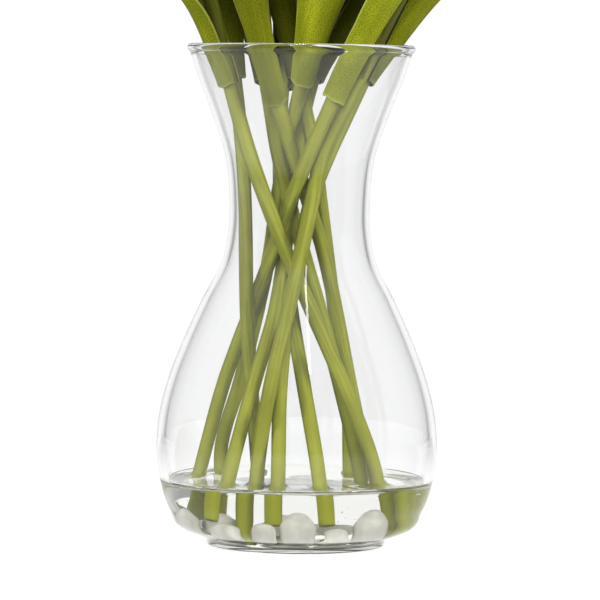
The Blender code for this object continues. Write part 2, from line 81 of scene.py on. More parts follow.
@dataclass
class Web:
    """A shader node tree while it is written.

    Attributes:
        tree: The tree that nodes are added to.
    """

    tree: bpy.types.NodeTree

    def put(self, kind: str, inputs: dict | None = None, **settings) -> bpy.types.Node:
        """Adds a node.

        Args:
            kind: The node's type without its "ShaderNode" or "Node" prefix.
            inputs: Socket name or number to a value or to the socket that feeds it.
            **settings: Properties of the node.

        Returns:
            The node.
        """
        prefix = "Node" if kind in ("GroupInput", "GroupOutput") else "ShaderNode"
        made = self.tree.nodes.new(prefix + kind)
        for name, value in settings.items():
            setattr(made, name, value)
        return self.feed(made, inputs or {})

    def feed(self, node: bpy.types.Node, inputs: dict) -> bpy.types.Node:
        """Fills a node's sockets.

        Args:
            node: The node.
            inputs: As for put. A colour may be given as red, green and blue.

        Returns:
            The node.
        """
        for name, value in inputs.items():
            socket = node.inputs[name]
            if isinstance(value, Socket):
                self.tree.links.new(value, socket)
            elif socket.type == "RGBA":
                socket.default_value = (*value, 1.0)
            else:
                socket.default_value = value
        return node

    def math(self, operation: str, *values: float | Socket) -> Socket:
        """A Math node's result.

        Args:
            operation: The node's operation.
            *values: Numbers or sockets, in the node's order.

        Returns:
            The result's socket.
        """
        return self.put("Math", dict(enumerate(values)), operation=operation).outputs[0]

    def spread(
        self, value: Socket, low: float, high: float, to_low: float = 0.0, to_high: float = 1.0
    ) -> Socket:
        """A value eased from one range to another, and held at its ends.

        Args:
            value: The socket to read.
            low: Where the change starts.
            high: Where it ends.
            to_low: The result up to low.
            to_high: The result from high on.

        Returns:
            The result's socket.
        """
        inputs = {"Value": value, "From Min": low, "From Max": high, "To Min": to_low, "To Max": to_high}
        return self.put("MapRange", inputs, interpolation_type="SMOOTHSTEP").outputs[0]

    def blend(self, share: float | Socket, first: Colour | Socket, second: Colour | Socket) -> Socket:
        """Two colours mixed.

        Args:
            share: How much of the second is taken, as a number or a socket.
            first: A colour's socket or its red, green and blue.
            second: The same for the second colour.

        Returns:
            The mixed colour's socket.
        """
        return self.put("Mix", {0: share, 6: first, 7: second}, data_type="RGBA").outputs[2]

    def mix(self, share: float | Socket, first: float | Socket, second: float | Socket) -> Socket:
        """Two numbers mixed.

        Args:
            share: How much of the second is taken, as a number or a socket.
            first: A number or its socket.
            second: The same for the second number.

        Returns:
            The mixed number's socket.
        """
        return self.put("Mix", {0: share, 2: first, 3: second}, data_type="FLOAT").outputs[0]

    def noise(self, vector: Socket, scale: float | Socket, detail: float = 2.0) -> Socket:
        """Noise, from 0 to 1.

        Args:
            vector: The socket of the place that it is read at.
            scale: Waves per metre, as a number or a socket.
            detail: Finer layers on top of the first.

        Returns:
            The value's socket.
        """
        return self.put("TexNoise", {"Vector": vector, "Scale": scale, "Detail": detail}).outputs[0]

    def group(self, tree: bpy.types.NodeTree, inputs: dict) -> bpy.types.Node:
        """Puts a node group in.

        Args:
            tree: The group.
            inputs: As for put.

        Returns:
            The group's node.
        """
        return self.put("Group", inputs, node_tree=tree)


def new_group(name: str, takes: dict[str, str], gives: dict[str, str]) -> tuple[Web, bpy.types.Node]:
    """An empty node group.

    Args:
        name: The group's name.
        takes: Input name to socket type.
        gives: Output name to socket type.

    Returns:
        The group's web and its input node.
    """
    tree = bpy.data.node_groups.new(name, "ShaderNodeTree")
    for direction, sockets in (("INPUT", takes), ("OUTPUT", gives)):
        for label, kind in sockets.items():
            tree.interface.new_socket(label, in_out=direction, socket_type="NodeSocket" + kind)
    web = Web(tree)
    return web, web.put("GroupInput")


# Grain per metre, its share of the relief, and how much shorter than long the lines' noise is
GRAIN_SCALE = 2200.0
GRAIN_HEIGHT = 0.35
LINE_DRAW = 0.045


def streaks_group() -> bpy.types.NodeTree:
    """Lengthwise lines and fine grain of moulded foliage.

    Returns:
        A group that reads a place in the straightened piece and gives lines, grain and a normal.
    """
    web, given = new_group(
        "moulded_streaks",
        {"Place": "Vector", "Line Scale": "Float", "Depth": "Float"},
        {"Lines": "Float", "Grain": "Float", "Normal": "Vector"},
    )
    drawn = web.put("Mapping", {"Vector": given.outputs["Place"], "Scale": (1.0, 1.0, LINE_DRAW)}).outputs[0]
    lines = web.noise(drawn, given.outputs["Line Scale"])
    grain = web.noise(given.outputs["Place"], GRAIN_SCALE)
    height = web.math("MULTIPLY_ADD", grain, GRAIN_HEIGHT, lines)
    bump = web.put("Bump", {"Height": height, "Distance": given.outputs["Depth"], "Strength": 1.0})
    web.put("GroupOutput", {"Lines": lines, "Grain": grain, "Normal": bump.outputs[0]})
    return web.tree


def blotches_group() -> bpy.types.NodeTree:
    """Slow changes of tone over a piece.

    Returns:
        A group that reads a place and gives a value that swings about 0.5.
    """
    web, given = new_group("soft_blotches", {"Place": "Vector", "Scale": "Float"}, {"Tone": "Float"})
    cloud = web.noise(given.outputs["Place"], given.outputs["Scale"], 3.0)
    web.put("GroupOutput", {"Tone": web.spread(cloud, 0.32, 0.68)})
    return web.tree


@dataclass(frozen=True)
class Groups:
    """The node groups that finishes share.

    Attributes:
        streaks: Lengthwise lines and grain.
        blotches: Slow changes of tone.
    """

    streaks: bpy.types.NodeTree
    blotches: bpy.types.NodeTree


def new_material(name: str) -> tuple[Web, bpy.types.Node]:
    """A material with its Principled shader.

    Args:
        name: The material's name.

    Returns:
        The material's web and the shader's node.
    """
    material = bpy.data.materials.new(name)
    material.use_nodes = True
    return Web(material.node_tree), material.node_tree.nodes["Principled BSDF"]


def flat_place(web: Web) -> Socket:
    """The place in the straightened piece."""
    return web.put("Attribute", attribute_name="flat").outputs["Vector"]


@dataclass(frozen=True)
class ClearFinish:
    """Glass or resin that light bends at.

    Attributes:
        name: The material's name.
        colour: What it lets through.
        index: Its index of refraction against air, or 1 where two clear pieces touch.
        let_through: How much light passes straight on as a shadow would fall.
    """

    name: str
    colour: Colour
    index: float
    let_through: float = 0.94

    def make(self) -> bpy.types.Material:
        """Makes the material.

        Returns:
            The material.
        """
        web, shader = new_material(self.name)
        values = {"Roughness": 0.0, "Metallic": 0.0, "Transmission Weight": 1.0, "IOR": self.index}
        web.feed(shader, {"Base Color": self.colour, **values})
        shadow = web.put("LightPath").outputs["Is Shadow Ray"]
        passed = web.put("BsdfTransparent", {"Color": (self.let_through,) * 3})
        mixed = web.put("MixShader", {0: shadow, 1: shader.outputs[0], 2: passed.outputs[0]})
        web.feed(web.tree.nodes["Material Output"], {"Surface": mixed.outputs[0]})
        return bpy.data.materials[self.name]


# Clouds per metre on foliage, the colour of its pits and the share of its pale dots
FOLIAGE_CLOUDS = 46.0
PIT = (0.03, 0.035, 0.001)
DOT_SHARE = 0.38
# Heights between which a stem goes from dry to wet
WATER_LINE = (0.0282, 0.0270)


@dataclass(frozen=True)
class FoliageFinish:
    """Moulded green foam with lengthwise lines, for a stem or a leaf, with painted light and shade from its
    tone.

    Attributes:
        name: The material's name.
        deep: Colour of its darker parts.
        fresh: Colour of its lighter parts.
        rim: Colour of its thin moulded edges.
        wet: Colour under the water line.
        line_scale: Lines per metre across the piece.
        line_share: How much darker the lines are, from 0 to 1.
        speckle: How strong the dark and light specks are, from 0 to 1.
        depth: Height of the lines and the grain.
        roughness: The surface's roughness.
        sheen: The surface's specular level.
        inner: Painted shade: what the colour of a leaf's inner face is multiplied by.
    """

    name: str
    deep: Colour
    fresh: Colour
    rim: Colour
    wet: Colour
    line_scale: float
    line_share: float
    speckle: float
    depth: float
    roughness: float
    sheen: float
    inner: float = 1.0

    def make(self, groups: Groups) -> bpy.types.Material:
        """Makes the material.

        Args:
            groups: The shared node groups.

        Returns:
            The material.
        """
        web, shader = new_material(self.name)
        flat = flat_place(web)
        place = web.put("TexCoord").outputs["Object"]
        drawn = {"Place": flat, "Line Scale": self.line_scale, "Depth": self.depth}
        lines, grain, normal = web.group(groups.streaks, drawn).outputs
        tone = web.group(groups.blotches, {"Place": place, "Scale": FOLIAGE_CLOUDS}).outputs[0]
        body = web.blend(web.math("MULTIPLY_ADD", tone, 0.55, 0.45), self.deep, self.fresh)
        lined = web.blend(web.spread(lines, 0.58, 0.42, 0.0, self.line_share), body, self.deep)
        pitted = web.blend(web.spread(grain, 0.44, 0.33, 0.0, self.speckle), lined, PIT)
        dots = web.spread(grain, 0.52, 0.66, 0.0, DOT_SHARE * self.speckle)
        speckled = web.blend(dots, pitted, self.rim)
        edge = web.put("Attribute", attribute_name="edge").outputs["Fac"]
        rimmed = web.blend(web.spread(edge, 0.35, 1.0, 0.0, 0.7), speckled, self.rim)
        # Painted shade on the face that a leaf turns to its stem
        if self.inner < 1.0:
            rimmed = self.paint_inner_shade(web, flat, rimmed)
        # The tone attribute is painted light and shade, darker where pieces lie in shade, lighter where lit
        painted_light_and_shade = web.put("Attribute", attribute_name="tone").outputs["Color"]
        both = {0: 1.0, 6: rimmed, 7: painted_light_and_shade}
        with_painted_shade = web.put("Mix", both, data_type="RGBA", blend_type="MULTIPLY").outputs[2]
        height = web.put("SeparateXYZ", {0: place}).outputs["Z"]
        soaked = web.blend(web.spread(height, *WATER_LINE), with_painted_shade, self.wet)
        values = {"Roughness": self.roughness, "Specular IOR Level": self.sheen}
        web.feed(shader, {"Base Color": soaked, "Normal": normal, **values})
        return bpy.data.materials[self.name]

    def paint_inner_shade(self, web: Web, flat: Socket, colour: Socket) -> Socket:
        """Paints shade on the face that a leaf turns to its stem.

        Args:
            web: The material's web.
            flat: The place in the straightened leaf, whose Y is the thickness on that face.
            colour: The leaf's colour.

        Returns:
            The socket of the colour with painted shade on its inner face.
        """
        dark = web.blend(1.0 - self.inner, colour, (0.0, 0.0, 0.0))
        through = web.put("SeparateXYZ", {0: flat}).outputs["Y"]
        return web.blend(web.spread(through, 0.0002, 0.0006), colour, dark)


@dataclass(frozen=True)
class PetalFinish:
    """Soft white petal with fine veins and a green-yellow foot.

    Attributes:
        name: The material's name.
        body: Colour of the petal.
        foot: Colour where it leaves the receptacle.
        vein: Colour of the veins.
        roughness: The surface's roughness.
        glow: How much light wanders through it.
    """

    name: str
    body: Colour
    foot: Colour
    vein: Colour
    roughness: float
    glow: float

    def make(self, groups: Groups) -> bpy.types.Material:
        """Makes the material.

        Args:
            groups: The shared node groups.

        Returns:
            The material.
        """
        web, shader = new_material(self.name)
        flat = flat_place(web)
        drawn = {"Place": flat, "Line Scale": 900.0, "Depth": 0.00012}
        lines, _, normal = web.group(groups.streaks, drawn).outputs
        height = web.put("SeparateXYZ", {0: flat}).outputs["Z"]
        body = web.blend(web.spread(height, 0.002, 0.024, 1.0, 0.0), self.body, self.foot)
        veined = web.blend(web.spread(lines, 0.6, 0.4, 0.0, 0.45), body, self.vein)
        values = {"Roughness": self.roughness, "Subsurface Weight": self.glow}
        depth = {"Subsurface Radius": (1.0, 0.9, 0.6), "Subsurface Scale": 0.002}
        web.feed(shader, {"Base Color": veined, "Normal": normal, **values, **depth})
        return bpy.data.materials[self.name]


@dataclass(frozen=True)
class StoneFinish:
    """Milky quartz, with clouds and a dull skin.

    Attributes:
        name: The material's name.
        pale: Colour of most of it.
        cloud: Colour of its darker clouds.
        roughness: The skin's roughness.
        glow: How much light wanders through it.
    """

    name: str
    pale: Colour
    cloud: Colour
    roughness: float
    glow: float

    def make(self, groups: Groups) -> bpy.types.Material:
        """Makes the material.

        Args:
            groups: The shared node groups.

        Returns:
            The material.
        """
        web, shader = new_material(self.name)
        place = web.put("TexCoord").outputs["Object"]
        tone = web.group(groups.blotches, {"Place": place, "Scale": 120.0}).outputs[0]
        pits = web.noise(place, 900.0, 3.0)
        bump = web.put("Bump", {"Height": pits, "Distance": 0.00015, "Strength": 1.0})
        skin = {"Base Color": web.blend(tone, self.pale, self.cloud), "Normal": bump.outputs[0]}
        values = {"Roughness": self.roughness, "Specular IOR Level": 0.15, "Subsurface Weight": self.glow}
        depth = {"Subsurface Radius": (1.0, 1.0, 0.95), "Subsurface Scale": 0.006}
        web.feed(shader, {**skin, **values, **depth})
        return bpy.data.materials[self.name]


@dataclass(frozen=True)
class PlainFinish:
    """One colour, for the small parts inside a bloom.

    Attributes:
        name: The material's name.
        colour: Its colour.
        roughness: Its roughness.
    """

    name: str
    colour: Colour
    roughness: float

    def make(self) -> bpy.types.Material:
        """Makes the material.

        Returns:
            The material.
        """
        web, shader = new_material(self.name)
        web.feed(shader, {"Base Color": self.colour, "Roughness": self.roughness})
        return bpy.data.materials[self.name]


GLASS = ClearFinish("blown_glass", (0.985, 0.99, 0.988), 1.5)
WETTED = ClearFinish("wetted_glass", (1.0, 1.0, 1.0), 1.0, 1.0)
RESIN = ClearFinish("set_water", (0.900, 0.905, 0.850), 1.49)
RESIN_WET = ClearFinish("set_water_bond", (0.955, 0.958, 0.926), 1.0, 1.0)
STEM = FoliageFinish(
    name="stem_foam",
    deep=(0.245, 0.262, 0.026),
    fresh=(0.385, 0.408, 0.056),
    rim=(0.54, 0.55, 0.17),
    wet=(0.275, 0.296, 0.006),
    line_scale=520.0,
    line_share=0.90,
    speckle=0.12,
    depth=0.00026,
    roughness=0.48,
    sheen=0.15,
)
LEAF = FoliageFinish(
    name="leaf_foam",
    deep=(0.115, 0.138, 0.002),
    fresh=(0.285, 0.310, 0.007),
    rim=(0.52, 0.54, 0.13),
    wet=(0.22, 0.30, 0.02),
    line_scale=430.0,
    line_share=0.30,
    speckle=0.95,
    depth=0.00045,
    roughness=0.60,
    sheen=0.05,
    # Painted shade on the leaves' inner faces
    inner=0.35,
)
PETAL = PetalFinish(
    name="petal_foam",
    body=(0.86, 0.83, 0.74),
    foot=(0.55, 0.60, 0.20),
    vein=(0.80, 0.75, 0.60),
    roughness=0.5,
    glow=0.25,
)
STONE = StoneFinish("milky_quartz", (0.64, 0.63, 0.58), (0.46, 0.45, 0.40), 0.45, 0.35)
SEAT = PlainFinish("bloom_seat", (0.33, 0.40, 0.10), 0.55)
FILAMENT = PlainFinish("stamen_thread", (0.72, 0.74, 0.42), 0.55)
ANTHER = PlainFinish("stamen_head", (0.12, 0.09, 0.055), 0.8)
PISTIL = PlainFinish("pistil_green", (0.47, 0.56, 0.18), 0.5)


# Shapes


def read_line(knots: Numbers, values: Numbers, at: Numbers) -> np.ndarray:
    """A smooth curve through values at knots, read at other places.

    Between two knots it is the cubic that meets both values, with the slopes that the knots on each side
    of them give.

    Args:
        knots: Rising places.
        values: A value or a row of values at each.
        at: The places to read.

    Returns:
        A value or a row of values at each place.
    """
    knots, values, at = (np.asarray(given, float) for given in (knots, values, at))
    slopes = np.gradient(values, knots, axis=0)
    low = np.clip(np.searchsorted(knots, at, side="right") - 1, 0, len(knots) - 2)
    step = knots[low + 1] - knots[low]
    t = (at - knots[low]) / step
    if values.ndim > 1:
        step, t = step[:, None], t[:, None]
    start = (2 * t**3 - 3 * t**2 + 1) * values[low] + (t**3 - 2 * t**2 + t) * step * slopes[low]
    end = (3 * t**2 - 2 * t**3) * values[low + 1] + (t**3 - t**2) * step * slopes[low + 1]
    return start + end


def grid_quads(rows: int, columns: int, closed: bool = False) -> np.ndarray:
    """The quads of a grid of points.

    Args:
        rows: Points one way.
        columns: Points the other way.
        closed: Whether the last column joins the first.

    Returns:
        Four point numbers a quad.
    """
    row = np.arange(rows - 1)[:, None] * columns
    column = np.arange(columns if closed else columns - 1)[None, :]
    ahead = (column + 1) % columns
    corners = (row + column, row + ahead, row + columns + ahead, row + columns + column)
    return np.stack(corners, axis=-1).reshape(-1, 4)


def end_fans(count: int, sides: int) -> list:
    """The triangles that close a tube's first and last ring.

    Args:
        count: Points in all its rings. The two end points follow them.
        sides: Points in a ring.

    Returns:
        The fan at the first ring, then the one at the last.
    """
    at = np.arange(sides)
    ahead = (at + 1) % sides
    base = count - sides
    start = np.column_stack([np.full(sides, count), ahead, at])
    end = np.column_stack([np.full(sides, count + 1), base + at, base + ahead])
    return start.tolist() + end.tolist()


@dataclass
class Patch:
    """A closed surface on its way to a mesh.

    Attributes:
        points: Its points.
        faces: Lists of point numbers, seen anticlockwise from outside.
        flat: Each point's place in the straightened piece.
        edge: How near each point is to a thin edge, from 0 to 1.
        slot: Which of the piece's materials its faces take, one number or one a face.
        tone: Painted light and shade: what its colour is multiplied by, one number or one a point.
    """

    points: np.ndarray
    faces: list
    flat: np.ndarray
    edge: np.ndarray
    slot: int | np.ndarray = 0
    tone: float | np.ndarray = 1.0


def joined(patches: list[Patch]) -> Patch:
    """Patches as one.

    Args:
        patches: What to join.

    Returns:
        One patch that holds them all, unwelded.
    """
    starts = np.cumsum([0] + [len(patch.points) for patch in patches])
    pairs = zip(patches, starts.tolist())
    faces = [[int(i) + start for i in face] for patch, start in pairs for face in patch.faces]
    slots = np.concatenate([np.broadcast_to(patch.slot, len(patch.faces)) for patch in patches])
    return Patch(
        np.vstack([patch.points for patch in patches]),
        faces,
        np.vstack([patch.flat for patch in patches]),
        np.concatenate([patch.edge for patch in patches]),
        slots,
    )


def add_piece(name: str, patch: Patch, materials: list[bpy.types.Material]) -> bpy.types.Object:
    """Makes an object of a patch.

    Args:
        name: The piece's name.
        patch: Its surface.
        materials: What the patch's slots stand for.

    Returns:
        The object, at the origin, smooth and with its attributes.
    """
    mesh = bpy.data.meshes.new(name)
    mesh.from_pydata(patch.points.tolist(), [], [list(map(int, face)) for face in patch.faces])
    for material in materials:
        mesh.materials.append(material)
    slots = np.broadcast_to(patch.slot, len(patch.faces)).astype(np.int32)
    mesh.polygons.foreach_set("material_index", np.ascontiguousarray(slots))
    flat = mesh.attributes.new("flat", "FLOAT_VECTOR", "POINT")
    flat.data.foreach_set("vector", patch.flat.astype(np.float32).ravel())
    edge = mesh.attributes.new("edge", "FLOAT", "POINT")
    edge.data.foreach_set("value", patch.edge.astype(np.float32))
    # The tone attribute holds painted light and shade
    tone = mesh.attributes.new("tone", "FLOAT", "POINT")
    tones = np.broadcast_to(patch.tone, len(patch.points))
    tone.data.foreach_set("value", np.ascontiguousarray(tones, np.float32))
    mesh.shade_smooth()
    mesh.update()
    piece = bpy.data.objects.new(name, mesh)
    bpy.context.scene.collection.objects.link(piece)
    return piece


def place_piece(piece: bpy.types.Object, slot: Slot, *nodes: str) -> None:
    """Ties a piece to the frame and logs it.

    Args:
        piece: The finished piece.
        slot: The record's material slot; not used.
        *nodes: The CAD nodes that it stands for.
    """
    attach(piece, BODY)
    if nodes:
        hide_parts(*nodes)
    log.info("%s: %d points for %s", piece.name, len(piece.data.vertices), ", ".join(nodes) or "no node")


def unit(vectors: np.ndarray) -> np.ndarray:
    """Vectors scaled to length 1.

    Args:
        vectors: Rows of vectors.

    Returns:
        The scaled vectors.
    """
    return vectors / np.maximum(np.linalg.norm(vectors, axis=-1, keepdims=True), 1e-12)


def turned_patch(profile: np.ndarray, sides: int, slots: np.ndarray) -> Patch:
    """A closed solid of revolution about Z.

    Each point of the profile becomes a ring: its radius times the cosine and sine of the angle, at its
    height. The profile starts and ends on the axis. The two end fans face the other way from the sides.

    Args:
        profile: Radius and height of each point, so that a rising line faces inwards.
        sides: Points in a ring.
        slots: A material number for each stretch of the profile.

    Returns:
        The patch, with a single point at each pole.
    """
    angle = np.arange(sides) * 2 * math.pi / sides
    ring = profile[1:-1]
    points = np.stack(
        [
            ring[:, :1] * np.cos(angle),
            ring[:, :1] * np.sin(angle),
            np.repeat(ring[:, 1:], sides, axis=1),
        ],
        axis=-1,
    ).reshape(-1, 3)
    quads = grid_quads(len(ring), sides, closed=True)[:, ::-1].tolist()
    faces = quads + end_fans(len(points), sides)
    points = np.vstack([points, [0.0, 0.0, profile[0, 1]], [0.0, 0.0, profile[-1, 1]]])
    kinds = np.repeat(np.concatenate([slots[1:-1], slots[:1], slots[-1:]]), sides)
    return Patch(points, faces, points.copy(), np.zeros(len(points)), kinds)


def rod_patch(centres: np.ndarray, radii: np.ndarray, sides: int, ripple: float = 0.0) -> Patch:
    """A closed rod along a line.

    Each ring lies across the line's direction there. The straightened place is the ring's own X and Y, and
    the length along the line from its start. A ripple adds its share of the cosine of three times the angle.

    Args:
        centres: Points of the line.
        radii: The rod's radius at each.
        sides: Points in a ring.
        ripple: How much of the radius the ripple adds.

    Returns:
        The patch, with a single point at each end.
    """
    along = unit(np.gradient(centres, axis=0))
    first = unit(np.cross(along, np.array([0.0, 1.0, 0.0])))
    second = np.cross(along, first)
    angle = np.arange(sides) * 2 * math.pi / sides
    wide = radii[:, None] * (1 + ripple * np.cos(3 * angle + 1.0))[None, :]
    x, y = wide * np.cos(angle), wide * np.sin(angle)
    points = centres[:, None] + first[:, None] * x[..., None] + second[:, None] * y[..., None]
    length = np.concatenate([[0.0], np.cumsum(np.linalg.norm(np.diff(centres, axis=0), axis=1))])
    flat = np.stack([x, y, np.repeat(length[:, None], sides, axis=1)], axis=-1)
    count = points.shape[0] * sides
    ends = np.stack([centres[0], centres[-1]])
    flat_ends = np.array([[0.0, 0.0, 0.0], [0.0, 0.0, length[-1]]])
    faces = grid_quads(len(centres), sides, closed=True).tolist() + end_fans(count, sides)
    all_points = np.vstack([points.reshape(-1, 3), ends])
    all_flat = np.vstack([flat.reshape(-1, 3), flat_ends])
    return Patch(all_points, faces, all_flat, np.zeros(len(all_points)))


def sheet_patch(points: np.ndarray, thick: float, flat: np.ndarray, margin: np.ndarray, bead: float) -> Patch:
    """A thin closed sheet through a grid of points, with rounded and slightly beaded margins.

    Half of the thickness goes to each side along the surface's normal. Within half a thickness of a margin it
    falls as a circle does, and over the bead's width it stands a little proud.

    Args:
        points: A grid of points.
        thick: The sheet's thickness.
        flat: Each point's place in the straightened piece.
        margin: Each point's distance from the nearest margin, 0 on the outer rows and columns.
        bead: How much the bead adds to the thickness, as a share.

    Returns:
        The patch.
    """
    rows, columns = margin.shape
    along = np.gradient(points, axis=0)
    across = np.gradient(points, axis=1)
    normal = unit(np.cross(across, along))
    near = np.clip(margin / (thick / 2), 0.0, 1.0)
    rounded = np.sqrt(np.maximum(1 - (1 - near) ** 2, 0.03))
    proud = 1 + bead * np.exp(-((margin / (1.1 * thick)) ** 2))
    half = (thick / 2 * rounded * proud)[..., None]
    count = rows * columns
    both = np.concatenate([points + normal * half, points - normal * half]).reshape(-1, 3)
    quads = grid_quads(rows, columns)
    index = np.arange(count).reshape(rows, columns)
    loop = np.concatenate([index[0, :-1], index[:-1, -1], index[-1, :0:-1], index[:0:-1, 0]])
    ahead = np.roll(loop, -1)
    rim = np.column_stack([ahead, loop, loop + count, ahead + count])
    faces = quads.tolist() + (quads[:, ::-1] + count).tolist() + rim.tolist()
    side = np.array([0.0, thick, 0.0])
    flats = np.vstack([flat.reshape(-1, 3), flat.reshape(-1, 3) + side])
    edge = np.exp(-((margin.ravel() / (1.3 * thick)) ** 2))
    return Patch(both, faces, flats, np.concatenate([edge, edge]))


def laid_flat(
    across: np.ndarray, half_width: np.ndarray, length: np.ndarray, shift: float = 0.0
) -> tuple[np.ndarray, np.ndarray]:
    """A blade laid flat: its width along X, its length along Z.

    Args:
        across: Places across it, from -1 to 1.
        half_width: Half its width at each row.
        length: Distance of each row from its foot.
        shift: What is added to X.

    Returns:
        Each point's flat place and its distance from the nearest margin.
    """
    wide = half_width[:, None] * across
    rows = np.repeat(length[:, None], len(across), axis=1)
    side = half_width[:, None] * (1 - np.abs(across))
    end = np.minimum(length, length[-1] - length)[:, None]
    return np.stack([wide + shift, np.zeros_like(wide), rows], axis=-1), np.minimum(side, end)


def rounded_steps(count: int, ends: tuple[float, ...] = (0.0, 0.004, 0.012, 0.03)) -> np.ndarray:
    """Places from 0 to 1 that crowd near both ends.

    Args:
        count: How many even places lie between the crowded ones.
        ends: The crowded places at the start, mirrored at the end.

    Returns:
        The places.
    """
    start = np.array(ends)
    even = np.linspace(start[-1], 1 - start[-1], count + 2)[1:-1]
    return np.concatenate([start, even, 1 - start[::-1]])


# Vase


@dataclass
class Vase:
    """The blown glass: belly, waist, flared neck, fire-polished bead and a small foot.

    Attributes:
        line: Height and outer radius, from the foot up to the bead.
        wall: Height and wall thickness.
        rim_top: Height of the bead's top.
        bead: Height of the bead.
        overhang: How far the bead stands out past the wall.
        floor: Thickness of the floor.
        floor_radius: Where the floor meets the inner wall's curve.
        curve_top: Height at which that curve meets the wall.
        wet_top: Height up to which the set water wets the inner wall.
        foot_edge: Height at which the wall rounds into the foot.
        punt: How far the underside is hollowed in its middle.
        sides: Points in a ring.
    """

    line: tuple = (
        (0.0000, 0.0388),
        (0.0030, 0.0398),
        (0.0066, 0.0490),
        (0.0153, 0.0553),
        (0.0270, 0.0595),
        (0.0400, 0.0613),
        (0.0560, 0.0604),
        (0.0730, 0.0563),
        (0.0895, 0.0500),
        (0.1069, 0.0421),
        (0.1243, 0.0336),
        (0.1380, 0.0309),
        (0.1520, 0.0307),
        (0.1680, 0.0323),
        (0.1854, 0.0377),
        (0.2028, 0.0445),
        (0.2150, 0.0486),
    )
    wall: tuple = ((0.008, 0.0042), (0.050, 0.0038), (0.090, 0.0036), (0.140, 0.0031), (0.210, 0.0023))
    rim_top: float = 0.2185
    bead: float = 0.0036
    overhang: float = 0.0012
    floor: float = 0.0050
    floor_radius: float = 0.0415
    curve_top: float = 0.0105
    wet_top: float = 0.0294
    foot_edge: float = 0.0006
    punt: float = 0.0006
    sides: int = 192

    def outer(self, heights: np.ndarray) -> np.ndarray:
        """The outer radius.

        Args:
            heights: Where to read it.

        Returns:
            The radius at each height.
        """
        line = np.array(self.line)
        return read_line(line[:, 0], line[:, 1], np.minimum(heights, line[-1, 0]))

    def inner(self, heights: np.ndarray) -> np.ndarray:
        """The inner radius.

        Args:
            heights: Where to read it.

        Returns:
            The radius at each height.
        """
        wall = np.array(self.wall)
        return self.outer(heights) - np.interp(heights, wall[:, 0], wall[:, 1])

    def inner_at(self, height: float) -> float:
        """The inner radius at one height."""
        return float(self.inner(np.array([height]))[0])

    def floor_curve(self, places: np.ndarray, start: float) -> np.ndarray:
        """The curve that joins the floor to the inner wall, a quarter of an ellipse.

        Args:
            places: Places along it, from 0 at the floor to 1 at the wall.
            start: Height of its lower end.

        Returns:
            Rows of radius and height.
        """
        turn = places * math.pi / 2
        radius = self.floor_radius + (self.inner_at(self.curve_top) - self.floor_radius) * np.sin(turn)
        return np.column_stack([radius, start + (self.curve_top - start) * (1 - np.cos(turn))])

    def inner_line(self) -> np.ndarray:
        """The inner wall from the floor's edge to under the bead.

        Returns:
            Rows of radius and height.
        """
        curve = self.floor_curve(np.linspace(0.0, 1.0, 12)[1:], self.floor)
        wet = np.linspace(self.curve_top, self.wet_top, 16)[1:]
        dry = np.linspace(self.wet_top, self.rim_top - self.bead, 130)[1:]
        heights = np.concatenate([wet, dry])
        return np.vstack([curve, np.column_stack([self.inner(heights), heights])])

    def bead_line(self) -> np.ndarray:
        """The bead, as most of a circle from the inner wall over the top to the outer wall.

        Returns:
            Rows of radius and height.
        """
        low = self.rim_top - self.bead
        inner = self.inner_at(low)
        outer = float(self.outer(np.array([low]))[0]) + self.overhang
        middle, half = (inner + outer) / 2, (outer - inner) / 2
        angle = np.linspace(math.pi, -1.05, 26)
        lift = self.bead / 2
        return np.column_stack([middle + half * np.cos(angle), self.rim_top - lift + lift * np.sin(angle)])

    def outer_line(self) -> np.ndarray:
        """The outer wall from under the bead down to the foot's rounded edge.

        Returns:
            Rows of radius and height.
        """
        heights = np.linspace(self.line[-1][0] - 0.0002, self.foot_edge, 190)
        wall = np.column_stack([self.outer(heights), heights])
        edge = self.line[0][1]
        foot = [(edge - 0.0001, 0.00025), (edge - 0.0004, 0.00005), (edge - 0.0010, 0.0)]
        under = [(0.0300, 0.0), (0.0270, 0.0003), (0.0120, self.punt)]
        return np.vstack([wall, foot, under])

    def build(self) -> None:
        """Makes the vase and ties it to the frame."""
        radii = (0.0, 0.010, 0.020, 0.030, 0.037, self.floor_radius)
        floor = np.array([(radius, self.floor) for radius in radii])
        inner, bead, outer = self.inner_line(), self.bead_line(), self.outer_line()
        profile = np.vstack([floor, inner, bead, outer, [0.0, self.punt]])
        low = (profile[:-1, 1] + profile[1:, 1]) / 2 < self.wet_top
        inside = np.arange(len(profile) - 1) < len(floor) + len(inner)
        slots = np.where(low & inside, Face.WET.value, Face.DRY.value)
        patch = turned_patch(profile, self.sides, slots)
        place_piece(add_piece("glass_vase", patch, [GLASS.make(), WETTED.make()]), Slot.GLASS, "vase")


# Stems


STEM_RADIUS = 0.0032
# Points in a ring of a packed stem
RING = 8
# How often a stem's line is eased, and the furthest that it may move
EASING_STEPS = 4
MOST_SHIFT = 0.0005


